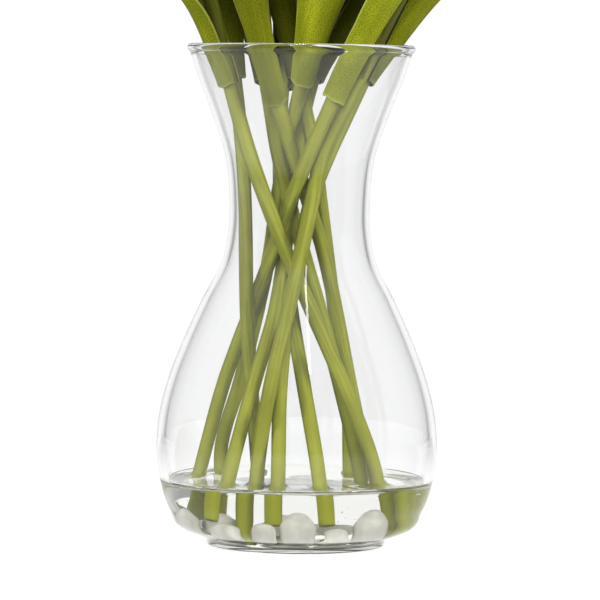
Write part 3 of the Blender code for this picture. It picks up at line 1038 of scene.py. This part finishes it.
@dataclass
class StemLine:
    """A stem's centre line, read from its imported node.

    Attributes:
        number: The stem's number.
        heights: Heights of the rings, rising.
        places: X and Y of each ring's middle.
    """

    number: int
    heights: np.ndarray
    places: np.ndarray

    @classmethod
    def of_node(cls, number: int) -> "StemLine":
        """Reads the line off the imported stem.

        The stem's points lie in rings of eight, so sorted by height each eight of them share a middle.

        Args:
            number: The stem's number.

        Returns:
            The line.
        """
        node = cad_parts[f"stem_{number:02d}"]
        points = np.array([vertex.co for vertex in node.data.vertices])
        points = np.unique(np.round(points, 7), axis=0)
        points = points[np.argsort(points[:, 2])]
        middles = points[: len(points) // RING * RING].reshape(-1, RING, 3).mean(axis=1)
        return cls(number, middles[:, 2], cls.eased(middles[:, 2], middles[:, :2]))

    @staticmethod
    def eased(heights: np.ndarray, places: np.ndarray) -> np.ndarray:
        """Draws the small kinks out of a line.

        Each inner place moves half way to the straight line between its neighbours, some times over, and
        never further than MOST_SHIFT from where it was.

        Args:
            heights: Height of each place.
            places: X and Y of each.

        Returns:
            The moved places.
        """
        share = ((heights[1:-1] - heights[:-2]) / (heights[2:] - heights[:-2]))[:, None]
        moved = places.copy()
        for _ in range(EASING_STEPS):
            moved[1:-1] += 0.5 * (moved[:-2] + (moved[2:] - moved[:-2]) * share - moved[1:-1])
            shift = moved - places
            length = np.maximum(np.linalg.norm(shift, axis=1, keepdims=True), 1e-9)
            moved = places + shift * np.minimum(1.0, MOST_SHIFT / length)
        return moved

    def at(self, heights: np.ndarray) -> np.ndarray:
        """Points of the line.

        Args:
            heights: Where to read it.

        Returns:
            The points.
        """
        return np.column_stack([read_line(self.heights, self.places, heights), heights])


@dataclass
class Stems:
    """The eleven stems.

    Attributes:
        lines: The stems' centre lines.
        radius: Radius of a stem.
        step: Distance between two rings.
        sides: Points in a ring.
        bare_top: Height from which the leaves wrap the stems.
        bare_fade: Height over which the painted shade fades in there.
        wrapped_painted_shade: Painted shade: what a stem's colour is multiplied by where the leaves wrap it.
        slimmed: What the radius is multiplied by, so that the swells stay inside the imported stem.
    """

    lines: list[StemLine]
    radius: float = STEM_RADIUS
    step: float = 0.0022
    sides: int = 28
    bare_top: float = 0.206
    bare_fade: float = 0.012
    wrapped_painted_shade: float = 0.28
    slimmed: float = 0.985

    def build_one(self, line: StemLine, material: bpy.types.Material) -> None:
        """Makes one stem: even in girth but for slow swells, with a cut foot.

        Args:
            line: The stem's centre line.
            material: Its finish.
        """
        low, high = line.heights[0], line.heights[-1]
        heights = np.linspace(low, high, int((high - low) / self.step))
        slow = 0.005 * np.sin(heights * 71 + line.number * 1.7)
        quick = 0.004 * np.sin(heights * 190 + line.number)
        radii = self.radius * self.slimmed * (1 + slow + quick)
        centres = line.at(heights)
        lead = np.array([0.0, 0.00012, 0.0003])
        ends = centres[0] + unit(centres[1] - centres[0]) * lead[:, None]
        centres = np.vstack([ends, centres[1:]])
        radii = np.concatenate([radii[0] * np.array([0.88, 0.96, 1.0]), radii[1:]])
        patch = rod_patch(centres, radii, self.sides, ripple=0.012)
        # Painted shade on the stem where its leaf wraps it
        leaf_shade = np.clip((patch.points[:, 2] - self.bare_top) / self.bare_fade, 0.0, 1.0)
        patch.tone = 1 - (1 - self.wrapped_painted_shade) * leaf_shade
        name = f"stem_{line.number:02d}"
        place_piece(add_piece(f"green_{name}", patch, [material]), Slot.STEM, name)

    def build(self, groups: Groups) -> None:
        """Makes every stem.

        Args:
            groups: The shared node groups.
        """
        material = STEM.make(groups)
        for line in self.lines:
            self.build_one(line, material)


# Leaves


@dataclass(frozen=True)
class LeafShape:
    """What makes one leaf its own.

    Attributes:
        sleeve: Height at which it starts.
        heading: Where it leans, in degrees from +X.
        length: Its length up the stem.
        spread: How far its tip stands out.
        flare: The share of that which it gains evenly.
        girth: What its blade's width is multiplied by.
        tone: Painted light and shade: what its colour is multiplied by, below 1 for leaves in shade and above
            1 for lit ones.
    """

    sleeve: float
    heading: float
    length: float
    spread: float
    flare: float
    girth: float
    tone: float


# The last column is painted light and shade: below 1 for leaves deep in the bunch, above 1 for lit ones
LEAVES = (
    LeafShape(0.201, 166, 0.138, 0.052, 0.25, 1.10, 0.90),
    LeafShape(0.203, 306, 0.145, 0.032, 0.40, 0.95, 0.22),
    LeafShape(0.202, 106, 0.145, 0.045, 0.20, 0.90, 0.16),
    LeafShape(0.194, 282, 0.145, 0.040, 0.10, 0.66, 0.62),
    LeafShape(0.199, 88, 0.150, 0.020, 0.30, 1.05, 0.12),
    LeafShape(0.202, 300, 0.150, 0.036, 0.20, 1.20, 1.80),
    LeafShape(0.204, 215, 0.145, 0.020, 0.20, 0.90, 0.15),
    LeafShape(0.203, 16, 0.145, 0.048, 0.60, 1.25, 0.26),
    LeafShape(0.195, 312, 0.145, 0.045, 0.15, 0.80, 1.30),
    LeafShape(0.205, 158, 0.145, 0.026, 0.10, 0.90, 0.20),
    LeafShape(0.203, 336, 0.140, 0.061, 0.60, 1.10, 0.78),
)


# How proud the beaded margins stand, as a share of the thickness
LEAF_BEAD = 0.35
PETAL_BEAD = 0.1
# Where a leaf's painted light and shade starts to even out, over what height, and how far it goes
WRAPPED_TO, WRAPPED_FADE, WRAPPED_EVEN = 0.234, 0.026, 0.40
FREE_FROM, FREE_FADE, FREE_EVEN = 0.246, 0.045, 0.75


@dataclass
class Leaves:
    """The eleven leaves: each a sleeve round its stem that opens into a folded blade.

    Attributes:
        lines: The stems' centre lines.
        thick: The blade's thickness.
        sleeve: The sleeve's radius at mid wall.
        places: Places along a leaf.
        half_widths: Half its width at each.
        rolls: The radius that it is rolled to at each, in sleeve radii.
        wave: Height of the waves along its edges.
        rows: Even rows along it.
        columns: Even columns across it.
    """

    lines: list[StemLine]
    thick: float = 0.0008
    sleeve: float = 0.0046
    places: tuple = (0.0, 0.10, 0.22, 0.36, 0.54, 0.74, 0.90, 1.0)
    half_widths: tuple = (0.0108, 0.0114, 0.0130, 0.0152, 0.0172, 0.0140, 0.0070, 0.0012)
    rolls: tuple = (1.0, 1.25, 1.8, 3.0, 4.6, 5.8, 6.3, 6.6)
    wave: float = 0.0012
    rows: int = 64
    columns: int = 34

    def sheet(self, shape: LeafShape, line: StemLine) -> tuple[np.ndarray, np.ndarray, np.ndarray]:
        """The leaf's middle surface.

        Its line follows the stem's and leans out by the spread times a mix of the place and its square.
        Across it the sheet is an arc of the roll's radius that bows towards the stem, and its edges wave by
        the sine of nine times the place, with the square of the distance from the middle. The width that
        its lines are drawn to swings by 2 percent, and the sleeve's end is uneven by two sine waves.

        Args:
            shape: The leaf's own numbers.
            line: Its stem's centre line.

        Returns:
            The points, their straightened places and their distances from the margin.
        """
        along = rounded_steps(self.rows, (0.0, 0.0008, 0.0022, 0.005))
        across = rounded_steps(self.columns, (0.0, 0.006, 0.018, 0.04)) * 2 - 1
        rows = np.array(self.places)
        centres = line.at(shape.sleeve + shape.length * along)
        rise = unit(np.gradient(centres, along, axis=0))
        angle = math.radians(shape.heading)
        lead = np.array([math.cos(angle), math.sin(angle), 0.0])
        out = unit(lead - rise * (rise @ lead)[:, None])
        aside = np.cross(rise, out)
        lean = shape.spread * (shape.flare * along + (1 - shape.flare) * along**2)
        grown = 1 + (shape.girth - 1) * np.minimum(along / self.places[2], 1.0)
        half_width = grown * read_line(rows, self.half_widths, along)
        roll = self.sleeve * grown * read_line(rows, self.rolls, along)
        turn = (half_width / roll)[:, None] * across[None, :]
        wave = self.wave * along * np.sin(9 * along + shape.heading)
        swing = 0.02 * np.sin(31 * along + shape.heading) * np.minimum(along / 0.1, 1.0)
        half_width = half_width * (1 + swing)
        reach = (self.sleeve + lean)[:, None] - roll[:, None] * (1 - np.cos(turn))
        reach = reach + wave[:, None] * across**2
        sideways = roll[:, None] * np.sin(turn)
        points = centres[:, None] + out[:, None] * reach[..., None] + aside[:, None] * sideways[..., None]
        uneven = np.sin(4.1 * across + shape.heading) + 0.5 * np.sin(11.0 * across + 2 * shape.heading)
        cut = 0.00045 * np.exp(-((along / 0.02) ** 2))[:, None] * uneven
        points += rise[:, None] * cut[..., None]
        return points, *laid_flat(across, half_width, shape.length * along)

    def build(self, groups: Groups) -> None:
        """Makes every leaf.

        A leaf's own tone is painted light and shade for the crowded rim. Below it, and above it where the
        leaf stands free, the painted light and shade goes part of the way back to 1.

        Args:
            groups: The shared node groups.
        """
        material = LEAF.make(groups)
        for line, shape in zip(self.lines, LEAVES):
            points, flat, margin = self.sheet(shape, line)
            patch = sheet_patch(points, self.thick, flat, margin, LEAF_BEAD)
            height = patch.points[:, 2]
            wrapped = np.clip((WRAPPED_TO - height) / WRAPPED_FADE, 0.0, 1.0)
            free = np.clip((height - FREE_FROM) / FREE_FADE, 0.0, 1.0)
            even = np.maximum(WRAPPED_EVEN * wrapped, FREE_EVEN * free)
            patch.tone = shape.tone + (1 - shape.tone) * even
            name = f"leaf_{line.number:02d}"
            place_piece(add_piece(f"green_{name}", patch, [material]), Slot.LEAF, name)


# Blooms


class BloomPart(Enum):
    """Which of a bloom's materials a part takes, by its place in the piece's list."""

    PETAL = 0
    SEAT = 1
    THREAD = 2
    HEAD = 3
    PISTIL = 4


BLOOM_SIZES = (0.98, 1.00, 0.96, 1.02, 1.00, 1.04, 0.95, 1.00, 1.00, 0.98, 0.97)


@dataclass
class Blooms:
    """The eleven blooms: three outer and three inner petals on a seat, round six stamens and a pistil.

    Attributes:
        lines: The stems' centre lines.
        places: Places along a petal.
        heights: Height of each over the seat.
        radii: Distance from the bloom's axis at each.
        half_widths: Half the petal's width at each.
        step: How much nearer the axis the inner petals are.
        rise: How much higher their feet are.
        crown: How far a petal's edges drop, as a share of its half width.
        thick: A petal's thickness.
        turn: How far each bloom is turned about its axis, in degrees.
    """

    lines: list[StemLine]
    places: tuple = (0.0, 0.14, 0.40, 0.74, 1.0)
    heights: tuple = (0.0014, 0.0070, 0.0240, 0.0450, 0.0575)
    radii: tuple = (0.0026, 0.0138, 0.0212, 0.0208, 0.0150)
    half_widths: tuple = (0.0014, 0.0100, 0.0195, 0.0170, 0.0034)
    step: float = 0.0026
    rise: float = 0.0026
    crown: float = 0.05
    thick: float = 0.0008
    turn: float = 12.0

    def petal(self, inner: int, facing: float, phase: float) -> Patch:
        """One petal about the bloom's Z axis.

        At each place the petal is an arc of the circle round the axis, as wide as its half widths say. Its
        edges drop with the square of the distance from the middle, and a fold along its middle and a slow
        wave at its margin are added to the radius.

        Args:
            inner: 1 for an inner petal, 0 for an outer one.
            facing: Its direction in radians.
            phase: Where the margin's wave starts.

        Returns:
            The patch.
        """
        along = rounded_steps(26, (0.0, 0.006, 0.018, 0.04))
        across = rounded_steps(16, (0.0, 0.010, 0.030, 0.07)) * 2 - 1
        rows = np.array(self.places)
        radius = read_line(rows, self.radii, along) - inner * self.step * np.minimum(along / rows[1], 1.0)
        height = read_line(rows, self.heights, along) + inner * self.rise * (1 - along) ** 2
        half_width = np.maximum(read_line(rows, self.half_widths, along), 0.0012)
        fold = 0.0006 * np.exp(-((across / 0.10) ** 2)) * np.sin(math.pi * along)[:, None]
        wave = 0.0007 * across**4 * np.sin(8 * along + phase)[:, None] * along[:, None]
        angle = facing + (half_width / radius)[:, None] * across
        wide = radius[:, None] - fold + wave
        drop = self.crown * half_width[:, None] * across**2
        points = np.stack([wide * np.cos(angle), wide * np.sin(angle), height[:, None] - drop], axis=-1)
        length = np.concatenate([[0.0], np.cumsum(np.hypot(np.diff(radius), np.diff(height)))])
        flat, margin = laid_flat(across, half_width, length, 0.2 * facing)
        return sheet_patch(points, self.thick, flat, margin, PETAL_BEAD)

    @staticmethod
    def rod(
        angle: float,
        out: np.ndarray,
        height: np.ndarray,
        radii: np.ndarray,
        sides: int,
        part: BloomPart,
        ripple: float = 0.0,
    ) -> Patch:
        """A rod that stays in one plane through the bloom's axis.

        Args:
            angle: The plane's direction in radians.
            out: Distance of each point from the axis.
            height: Height of each.
            radii: The rod's radius at each.
            sides: Points in a ring.
            part: What it is.
            ripple: As for rod_patch.

        Returns:
            The patch.
        """
        line = np.column_stack([out * math.cos(angle), out * math.sin(angle), height])
        patch = rod_patch(line, radii, sides, ripple)
        patch.slot = part.value
        return patch

    def heart(self) -> list[Patch]:
        """The pistil with its three lobes and six stamens, as rods about the bloom's axis.

        Returns:
            The patches.
        """
        t = np.linspace(0.0, 1.0, 12)
        radii = 0.0021 + 0.0006 * np.sin(math.pi * t)
        parts = [self.rod(0.0, 0 * t, 0.0045 + 0.0225 * t, radii, 16, BloomPart.PISTIL, ripple=0.12)]
        t = np.linspace(0.0, 1.0, 7)
        radii = 0.0012 * np.sqrt(np.maximum(1 - (2 * t - 1) ** 4, 0.05))
        for lobe in range(3):
            angle = lobe * 2 * math.pi / 3 + 0.35
            height = 0.0262 + 0.0014 * np.sin(t * 2.4)
            parts.append(self.rod(angle, 0.0010 + 0.0026 * t, height, radii, 10, BloomPart.PISTIL))
        t = np.linspace(0.0, 1.0, 8)
        radii = 0.0013 * np.sqrt(np.maximum(1 - (2 * t - 1) ** 4, 0.06))
        for number in range(6):
            angle = math.radians(60 * number + 40)
            out, height = 0.0040 + 0.0040 * t, 0.0050 + 0.0095 * t
            parts.append(self.rod(angle, out, height, np.full(8, 0.0006), 8, BloomPart.THREAD))
            out, height = 0.0080 + 0.0008 * t, 0.0142 + 0.0110 * t
            parts.append(self.rod(angle, out, height, radii, 10, BloomPart.HEAD))
        return parts

    def seat(self) -> Patch:
        """The small cone that the petals grow from.

        Returns:
            The patch.
        """
        shoulder = [(0.0, 0.0062), (0.0045, 0.0062), (0.0055, 0.0054)]
        profile = np.array([*shoulder, (0.0044, 0.0022), (0.0030, 0.0), (0.0, 0.0)])
        return turned_patch(profile, 24, np.full(len(profile) - 1, BloomPart.SEAT.value))

    def build_one(self, line: StemLine, size: float, materials: list[bpy.types.Material]) -> None:
        """Makes one bloom, seated on its stem's end and turned along it.

        Args:
            line: The stem's centre line.
            size: What the bloom's own size is multiplied by.
            materials: Petal, seat, thread, head and pistil.
        """
        petals = [
            self.petal(number % 2, math.radians(60 * number + self.turn), number * 1.3 + line.number)
            for number in range(6)
        ]
        patch = joined(petals + [self.seat()] + self.heart())
        top = line.heights[-1]
        ends = line.at(np.array([top - 0.012, top]))
        axis = Vector(ends[1] - ends[0]).normalized()
        turn = np.array(axis.to_track_quat("Z", "Y").to_matrix())
        patch.points = size * patch.points @ turn.T + ends[1] + GAP * np.array(axis)
        name = f"bloom_{line.number:02d}"
        place_piece(add_piece(f"tulip_{name}", patch, materials), Slot.PETAL, name)

    def build(self, groups: Groups) -> None:
        """Makes every bloom.

        Args:
            groups: The shared node groups.
        """
        materials = [PETAL.make(groups), SEAT.make(), FILAMENT.make(), ANTHER.make(), PISTIL.make()]
        for line, size in zip(self.lines, BLOOM_SIZES):
            self.build_one(line, size, materials)


# Pebbles


# X, Y, half length, half width, half height and turn in degrees
PEBBLES = (
    (0.0283, -0.0260, 0.0078, 0.0074, 0.0084, 20),
    (0.0158, -0.0348, 0.0078, 0.0050, 0.0040, 12),
    (0.0010, -0.0365, 0.0072, 0.0062, 0.0080, 0),
    (-0.0125, -0.0380, 0.0052, 0.0044, 0.0055, 165),
    (-0.0270, -0.0290, 0.0090, 0.0064, 0.0046, 135),
    (-0.0385, -0.0080, 0.0080, 0.0062, 0.0082, 100),
    (-0.0040, -0.0120, 0.0090, 0.0084, 0.0084, 10),
    (0.0140, -0.0125, 0.0085, 0.0078, 0.0060, 50),
    (-0.0235, -0.0078, 0.0076, 0.0080, 0.0084, 0),
    (0.0020, 0.0100, 0.0092, 0.0080, 0.0080, 5),
    (0.0220, 0.0090, 0.0080, 0.0074, 0.0076, 60),
    (-0.0190, 0.0160, 0.0085, 0.0075, 0.0078, 140),
    (0.0050, 0.0290, 0.0090, 0.0076, 0.0076, 170),
    (-0.0390, 0.0100, 0.0062, 0.0056, 0.0062, 80),
    (0.0346, 0.0186, 0.0070, 0.0058, 0.0062, 60),
)


@dataclass
class Pebbles:
    """The white river pebbles on the vase's floor.

    Attributes:
        floor: Height of the floor that they lie on.
        level: How often the first twenty faces of a pebble are split.
    """

    floor: float = 0.0050
    level: int = 5

    def skin(self, place: tuple, number: int, grown: float, level: int) -> Patch:
        """A pebble's skin.

        A point of the unit sphere is scaled to the half sizes less a few percent, and slow sine waves of its
        direction draw the skin in further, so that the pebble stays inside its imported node.

        Args:
            place: The pebble's row.
            number: Its number, which shifts the waves.
            grown: What is added to the skin all round.
            level: How often the faces are split.

        Returns:
            The patch.
        """
        shape = bmesh.new()
        bmesh.ops.create_icosphere(shape, subdivisions=level, radius=1.0)
        ball = np.array([vertex.co for vertex in shape.verts])
        faces = [[vertex.index for vertex in face.verts] for face in shape.faces]
        shape.free()
        x, y, length, width, height, turn = place
        one = np.sin(ball @ np.array([2.1, 1.3, 0.7]) + number)
        two = np.sin(ball @ np.array([-1.2, 2.6, 1.1]) + 2.3 * number)
        sizes = np.array([length, width, height])
        points = ball * sizes * (0.955 + 0.022 * (one + two)[:, None]) + unit(ball / sizes) * grown
        cos, sin = math.cos(math.radians(turn)), math.sin(math.radians(turn))
        matrix = np.array([[cos, -sin, 0], [sin, cos, 0], [0, 0, 1]])
        points = points @ matrix.T + np.array([x, y, self.floor + GAP + height])
        return Patch(points, faces, points.copy(), np.zeros(len(points)))

    def build(self, groups: Groups) -> None:
        """Makes every pebble.

        Args:
            groups: The shared node groups.
        """
        material = STONE.make(groups)
        for number, place in enumerate(PEBBLES, 1):
            patch = self.skin(place, number, 0.0, self.level)
            name = f"pebble_{number:02d}"
            place_piece(add_piece(f"white_{name}", patch, [material]), Slot.PEBBLE, name)


# Set water


# How often the first faces of a stone's hollow are split
HOLLOW_LEVEL = 4
# Air bubbles: X, Y, height and radius
BUBBLES = (
    (0.0185, -0.0440, 0.0205, 0.00030),
    (0.0200, -0.0425, 0.0182, 0.00022),
    (0.0172, -0.0450, 0.0165, 0.00026),
    (0.0207, -0.0432, 0.0225, 0.00018),
    (0.0168, -0.0430, 0.0148, 0.00020),
    (0.0420, -0.0220, 0.0215, 0.00028),
    (0.0405, -0.0250, 0.0178, 0.00020),
    (-0.0200, -0.0440, 0.0210, 0.00024),
    (-0.0060, -0.0470, 0.0232, 0.00020),
    (-0.0420, -0.0220, 0.0232, 0.00026),
)


@dataclass
class SetWater:
    """The clear set resin: flat on top, drawn up at the glass and at each stem, with holes for what it holds.

    Attributes:
        vase: The vase that it fills.
        pebbles: The stones that it holds.
        lines: The stems' centre lines.
        top: Height of its flat top.
        wall_rise: How far it is drawn up at the glass.
        stem_rise: How far it is drawn up at a stem.
        reach: The distance over which either falls to about a third.
        bore: Radius of a stem's hole.
        sides: Points in a ring.
    """

    vase: Vase
    pebbles: Pebbles
    lines: list[StemLine]
    top: float = 0.0275
    wall_rise: float = 0.0017
    stem_rise: float = 0.0019
    reach: float = 0.0013
    bore: float = 0.0034
    sides: int = 288

    def surface(self, x: np.ndarray, y: np.ndarray) -> np.ndarray:
        """Height of the top.

        The flat height plus the rise at the glass and at each stem, each falling with the exponential of the
        distance over the reach.

        Args:
            x: Places in X.
            y: Places in Y.

        Returns:
            The height at each place.
        """
        edge = self.vase.inner_at(self.top + self.wall_rise) - GAP
        height = self.top + self.wall_rise * np.exp(-np.maximum(edge - np.hypot(x, y), 0.0) / self.reach)
        for line in self.lines:
            near = line.at(np.array([self.top]))[0]
            gone = np.maximum(np.hypot(x - near[0], y - near[1]) - STEM_RADIUS, 0.0)
            height = height + self.stem_rise * np.exp(-gone / self.reach)
        return height

    def blank(self) -> Patch:
        """The solid before it is hollowed: the top as rings about the axis, then down the side and under.

        Returns:
            The patch.
        """
        edge = self.vase.inner_at(self.top + self.wall_rise) - GAP
        crowded = edge - 0.004 * np.linspace(0.92, 0.0, 14) ** 1.6
        radii = np.concatenate([np.linspace(0.0, edge - 0.004, 96)[1:], crowded])
        side = np.linspace(self.top + self.wall_rise, self.vase.curve_top, 18)[1:]
        base = self.vase.floor + GAP
        outer = np.column_stack([self.vase.inner(side) - GAP, side])
        under = self.vase.floor_curve(np.linspace(1.0, 0.0, 8)[1:], base) - (GAP, 0.0)
        inwards = np.array([(0.034, base), (0.020, base)])
        lid = np.column_stack([radii, np.full(len(radii), self.top)])
        profile = np.vstack([[0.0, self.top], lid, outer, under, inwards, [0.0, base]])
        slots = np.where(np.arange(len(profile) - 1) < len(lid), Face.DRY.value, Face.WET.value)
        patch = turned_patch(profile, self.sides, slots)
        above = np.arange(len(lid) * self.sides)
        x, y = patch.points[above, 0], patch.points[above, 1]
        patch.points[above, 2] = self.surface(x, y)
        pole = len(patch.points) - 2
        patch.points[pole, 2] = self.surface(np.zeros(1), np.zeros(1))[0]
        return patch

    def hole(self, line: StemLine, bond: bpy.types.Material) -> bpy.types.Object:
        """The cutter of one stem's hole.

        Args:
            line: The stem's centre line.
            bond: The finish of the hole's wall.

        Returns:
            The cutter.
        """
        centres = line.at(np.linspace(line.heights[0], self.top + 0.006, 12))
        centres[0] -= unit(centres[1] - centres[0]) * GAP
        patch = rod_patch(centres, np.full(len(centres), self.bore), 40)
        return add_piece(f"hole_{line.number:02d}", patch, [bond])

    def bubble(self, number: int, place: tuple, clear: bpy.types.Material) -> bpy.types.Object:
        """The cutter of one air bubble.

        Args:
            number: Its number.
            place: X, Y, height and radius.
            clear: The finish of the bubble's wall.

        Returns:
            The cutter.
        """
        turn = np.linspace(0.0, math.pi, 13)
        profile = np.column_stack([place[3] * np.sin(turn), place[2] + place[3] * np.cos(turn)])
        patch = turned_patch(profile, 18, np.zeros(len(turn) - 1, int))
        patch.points[:, :2] += place[:2]
        return add_piece(f"bubble_{number:02d}", patch, [clear])

    def build(self) -> None:
        """Makes the set water, hollows it and ties it to the frame."""
        bond = RESIN_WET.make()
        water = add_piece("set_water", self.blank(), [RESIN.make(), bond])
        cutters = bpy.data.collections.new("cutters")
        tools = [self.hole(line, bond) for line in self.lines]
        clear = water.data.materials[0]
        tools += [self.bubble(number, place, clear) for number, place in enumerate(BUBBLES, 1)]
        for number, place in enumerate(PEBBLES, 1):
            hollow = self.pebbles.skin(place, number, GAP, HOLLOW_LEVEL)
            tools.append(add_piece(f"hollow_{number:02d}", hollow, [bond]))
        for tool in tools:
            cutters.objects.link(tool)
            bpy.context.scene.collection.objects.unlink(tool)
        cut = water.modifiers.new("hollows", "BOOLEAN")
        cut.operation = "DIFFERENCE"
        cut.operand_type = "COLLECTION"
        cut.collection = cutters
        cut.material_mode = "TRANSFER"
        graph = bpy.context.evaluated_depsgraph_get()
        mesh = bpy.data.meshes.new_from_object(water.evaluated_get(graph))
        water.modifiers.clear()
        water.data = mesh
        for tool in tools:
            bpy.data.objects.remove(tool)
        bpy.data.collections.remove(cutters)
        place_piece(water, Slot.RESIN, "water")


# Studio


@dataclass
class Studio:
    """Pale floor, white surround with two grey flags, soft lights and the camera at the photo's angle.

    Attributes:
        location: The camera's place.
        aim: What it looks at.
        lens: Its focal length, for a sensor 36 mm wide.
        tilt: Its roll in degrees.
        backdrop: The surround's level for the camera.
        overhead: Its level in reflections straight above and below.
        floor_seen: The floor's glow for the camera.
        floor_spill: The floor's glow in light that has been scattered.
    """

    location: tuple = (0.0, -1.78, 0.207)
    aim: tuple = (0.0007, 0.0, 0.107)
    lens: float = 245.0
    tilt: float = 0.7
    backdrop: float = 1.02
    overhead: float = 0.80
    floor_seen: float = 0.84
    floor_spill: float = 0.22

    def camera(self) -> None:
        """Sets the camera."""
        data = bpy.data.cameras.new("camera")
        data.sensor_width = 36.0
        data.lens = self.lens
        camera = bpy.data.objects.new("camera", data)
        camera.location = self.location
        camera.rotation_mode = "QUATERNION"
        look = (Vector(self.aim) - Vector(self.location)).to_track_quat("-Z", "Y")
        camera.rotation_quaternion = look @ Quaternion((0, 0, 1), math.radians(self.tilt))
        bpy.context.scene.collection.objects.link(camera)
        bpy.context.scene.camera = camera

    def ring(self, web: Web, parts: bpy.types.Node) -> Socket:
        """How bright the studio is all round: white behind, a flag on each side, a dim front.

        With a the angle from straight behind, the level is 0.98 up to 26 degrees, 0.34 past 38,
        0.60 past 70 and 0.26 past 150.

        Args:
            web: The web to add to.
            parts: The node that splits the direction or the place into X, Y and Z.

        Returns:
            The socket of the level.
        """
        aside = web.math("ABSOLUTE", parts.outputs["X"])
        turn = web.math("MULTIPLY", web.math("ARCTAN2", aside, parts.outputs["Y"]), 180 / math.pi)
        back = web.spread(turn, 26.0, 38.0, 0.98, 0.34)
        room = web.spread(turn, 48.0, 70.0, 0.0, 0.26)
        front = web.spread(turn, 110.0, 150.0, 0.0, 0.34)
        return web.math("SUBTRACT", web.math("ADD", back, room), front)

    def surround(self) -> None:
        """White for the camera, and for reflections a white back, two flags beside it and a softer front.

        Steep directions are even and pale. Light that has been scattered comes from a dim soft sky.
        """
        world = bpy.data.worlds.new("studio")
        world.use_nodes = True
        web = Web(world.node_tree)
        parts = web.put("SeparateXYZ", {0: web.put("TexCoord").outputs["Generated"]})
        level = self.ring(web, parts)
        steep = web.spread(web.math("ABSOLUTE", parts.outputs["Z"]), 0.45, 0.80)
        mirrored = web.mix(steep, level, self.overhead)
        path = web.put("LightPath")
        scattered = web.math("MINIMUM", path.outputs["Diffuse Depth"], 1.0)
        soft = web.spread(parts.outputs["Z"], -0.2, 0.9, 0.16, 0.30)
        lit = web.mix(scattered, mirrored, soft)
        final = web.mix(path.outputs["Is Camera Ray"], lit, self.backdrop)
        world.cycles.sampling_method = "NONE"
        web.feed(web.tree.nodes["Background"], {"Color": WHITE, "Strength": final})
        bpy.context.scene.world = world

    def floor(self) -> None:
        """A wide pale floor that glows a little, so that only a faint shadow shows on it.

        In the glass it shows 0.95 at the foot, easing to 0.79. Further out it follows the ring, no darker
        than 0.66, less 0.20.
        """
        mesh = bpy.data.meshes.new("floor")
        angle = np.arange(96) * 2 * math.pi / 96
        rim = np.column_stack([0.6 * np.cos(angle), 0.6 * np.sin(angle), np.zeros(96)])
        mesh.from_pydata(rim.tolist(), [], [list(range(96))])
        plane = bpy.data.objects.new("floor", mesh)
        plane.location = (0.0, 0.0, -0.0002)
        bpy.context.scene.collection.objects.link(plane)
        web, shader = new_material("pale_floor")
        path = web.put("LightPath")
        scattered = web.math("MINIMUM", path.outputs["Diffuse Depth"], 1.0)
        place = web.put("TexCoord").outputs["Object"]
        out = web.put("VectorMath", {0: place}, operation="LENGTH").outputs["Value"]
        parts = web.put("SeparateXYZ", {0: place})
        edge = web.math("SUBTRACT", web.math("MAXIMUM", self.ring(web, parts), 0.66), 0.20)
        far = web.spread(out, 0.10, 0.42)
        near = web.spread(out, 0.045, 0.10, 0.95, 0.79)
        faded = web.mix(far, near, edge)
        seen = web.mix(path.outputs["Is Camera Ray"], faded, self.floor_seen)
        glow = web.mix(scattered, seen, self.floor_spill)
        matt = {"Base Color": (0.25, 0.25, 0.25), "Roughness": 1.0, "Specular IOR Level": 0.0}
        web.feed(shader, {**matt, "Emission Color": WHITE, "Emission Strength": glow})
        mesh.materials.append(bpy.data.materials["pale_floor"])

    def light(
        self, name: str, place: tuple, aim: tuple, size: tuple, power: float, mirrored: bool
    ) -> None:
        """Adds a soft rectangular light.

        Args:
            name: The light's name.
            place: Where it stands.
            aim: What it faces.
            size: Its width and height.
            power: Its power in watts.
            mirrored: Whether the glass reflects it.
        """
        data = bpy.data.lights.new(name, "AREA")
        data.shape = "RECTANGLE"
        data.size, data.size_y = size
        data.energy = power
        lamp = bpy.data.objects.new(name, data)
        lamp.location = place
        lamp.rotation_mode = "QUATERNION"
        lamp.rotation_quaternion = (Vector(aim) - Vector(place)).to_track_quat("-Z", "Y")
        lamp.visible_glossy = mirrored
        lamp.visible_transmission = False
        bpy.context.scene.collection.objects.link(lamp)

    def build(self) -> None:
        """Sets up the whole studio."""
        self.camera()
        self.surround()
        self.floor()
        self.light("left", (-1.40, -0.80, 0.65), (0, 0, 0.15), (0.4, 0.8), 15.0, False)
        self.light("right", (1.40, -0.80, 0.55), (0, 0, 0.15), (0.4, 0.8), 19.0, False)
        self.light("front", (-0.15, -1.70, 0.65), (0, 0, 0.15), (0.5, 0.5), 13.0, False)
        self.light("top", (0.1, 0.2, 1.6), (0, 0, 0.2), (0.45, 0.45), 9.0, True)
        self.light("strip", (0.25, -1.15, 1.45), (0, 0, 0.12), (0.07, 0.9), 2.6, True)
        self.light("back", (-0.40, 1.60, 0.80), (0, 0, 0.25), (0.8, 0.8), 8.0, False)
        scene = bpy.context.scene
        scene.view_settings.view_transform = "Standard"
        scene.cycles.max_bounces = 24
        scene.cycles.transmission_bounces = 24
        scene.cycles.transparent_max_bounces = 24
        scene.cycles.glossy_bounces = 6
        scene.cycles.diffuse_bounces = 4


def main() -> None:
    """Builds every sub-assembly."""
    logging.basicConfig(level=logging.INFO, format="%(message)s")
    groups = Groups(streaks_group(), blotches_group())
    lines = [StemLine.of_node(number) for number in range(1, 12)]
    vase, pebbles = Vase(), Pebbles()
    vase.build()
    pebbles.build(groups)
    SetWater(vase, pebbles, lines).build()
    Stems(lines).build(groups)
    Leaves(lines).build(groups)
    Blooms(lines).build(groups)
    Studio().build()


if __name__ == "__main__":
    main()
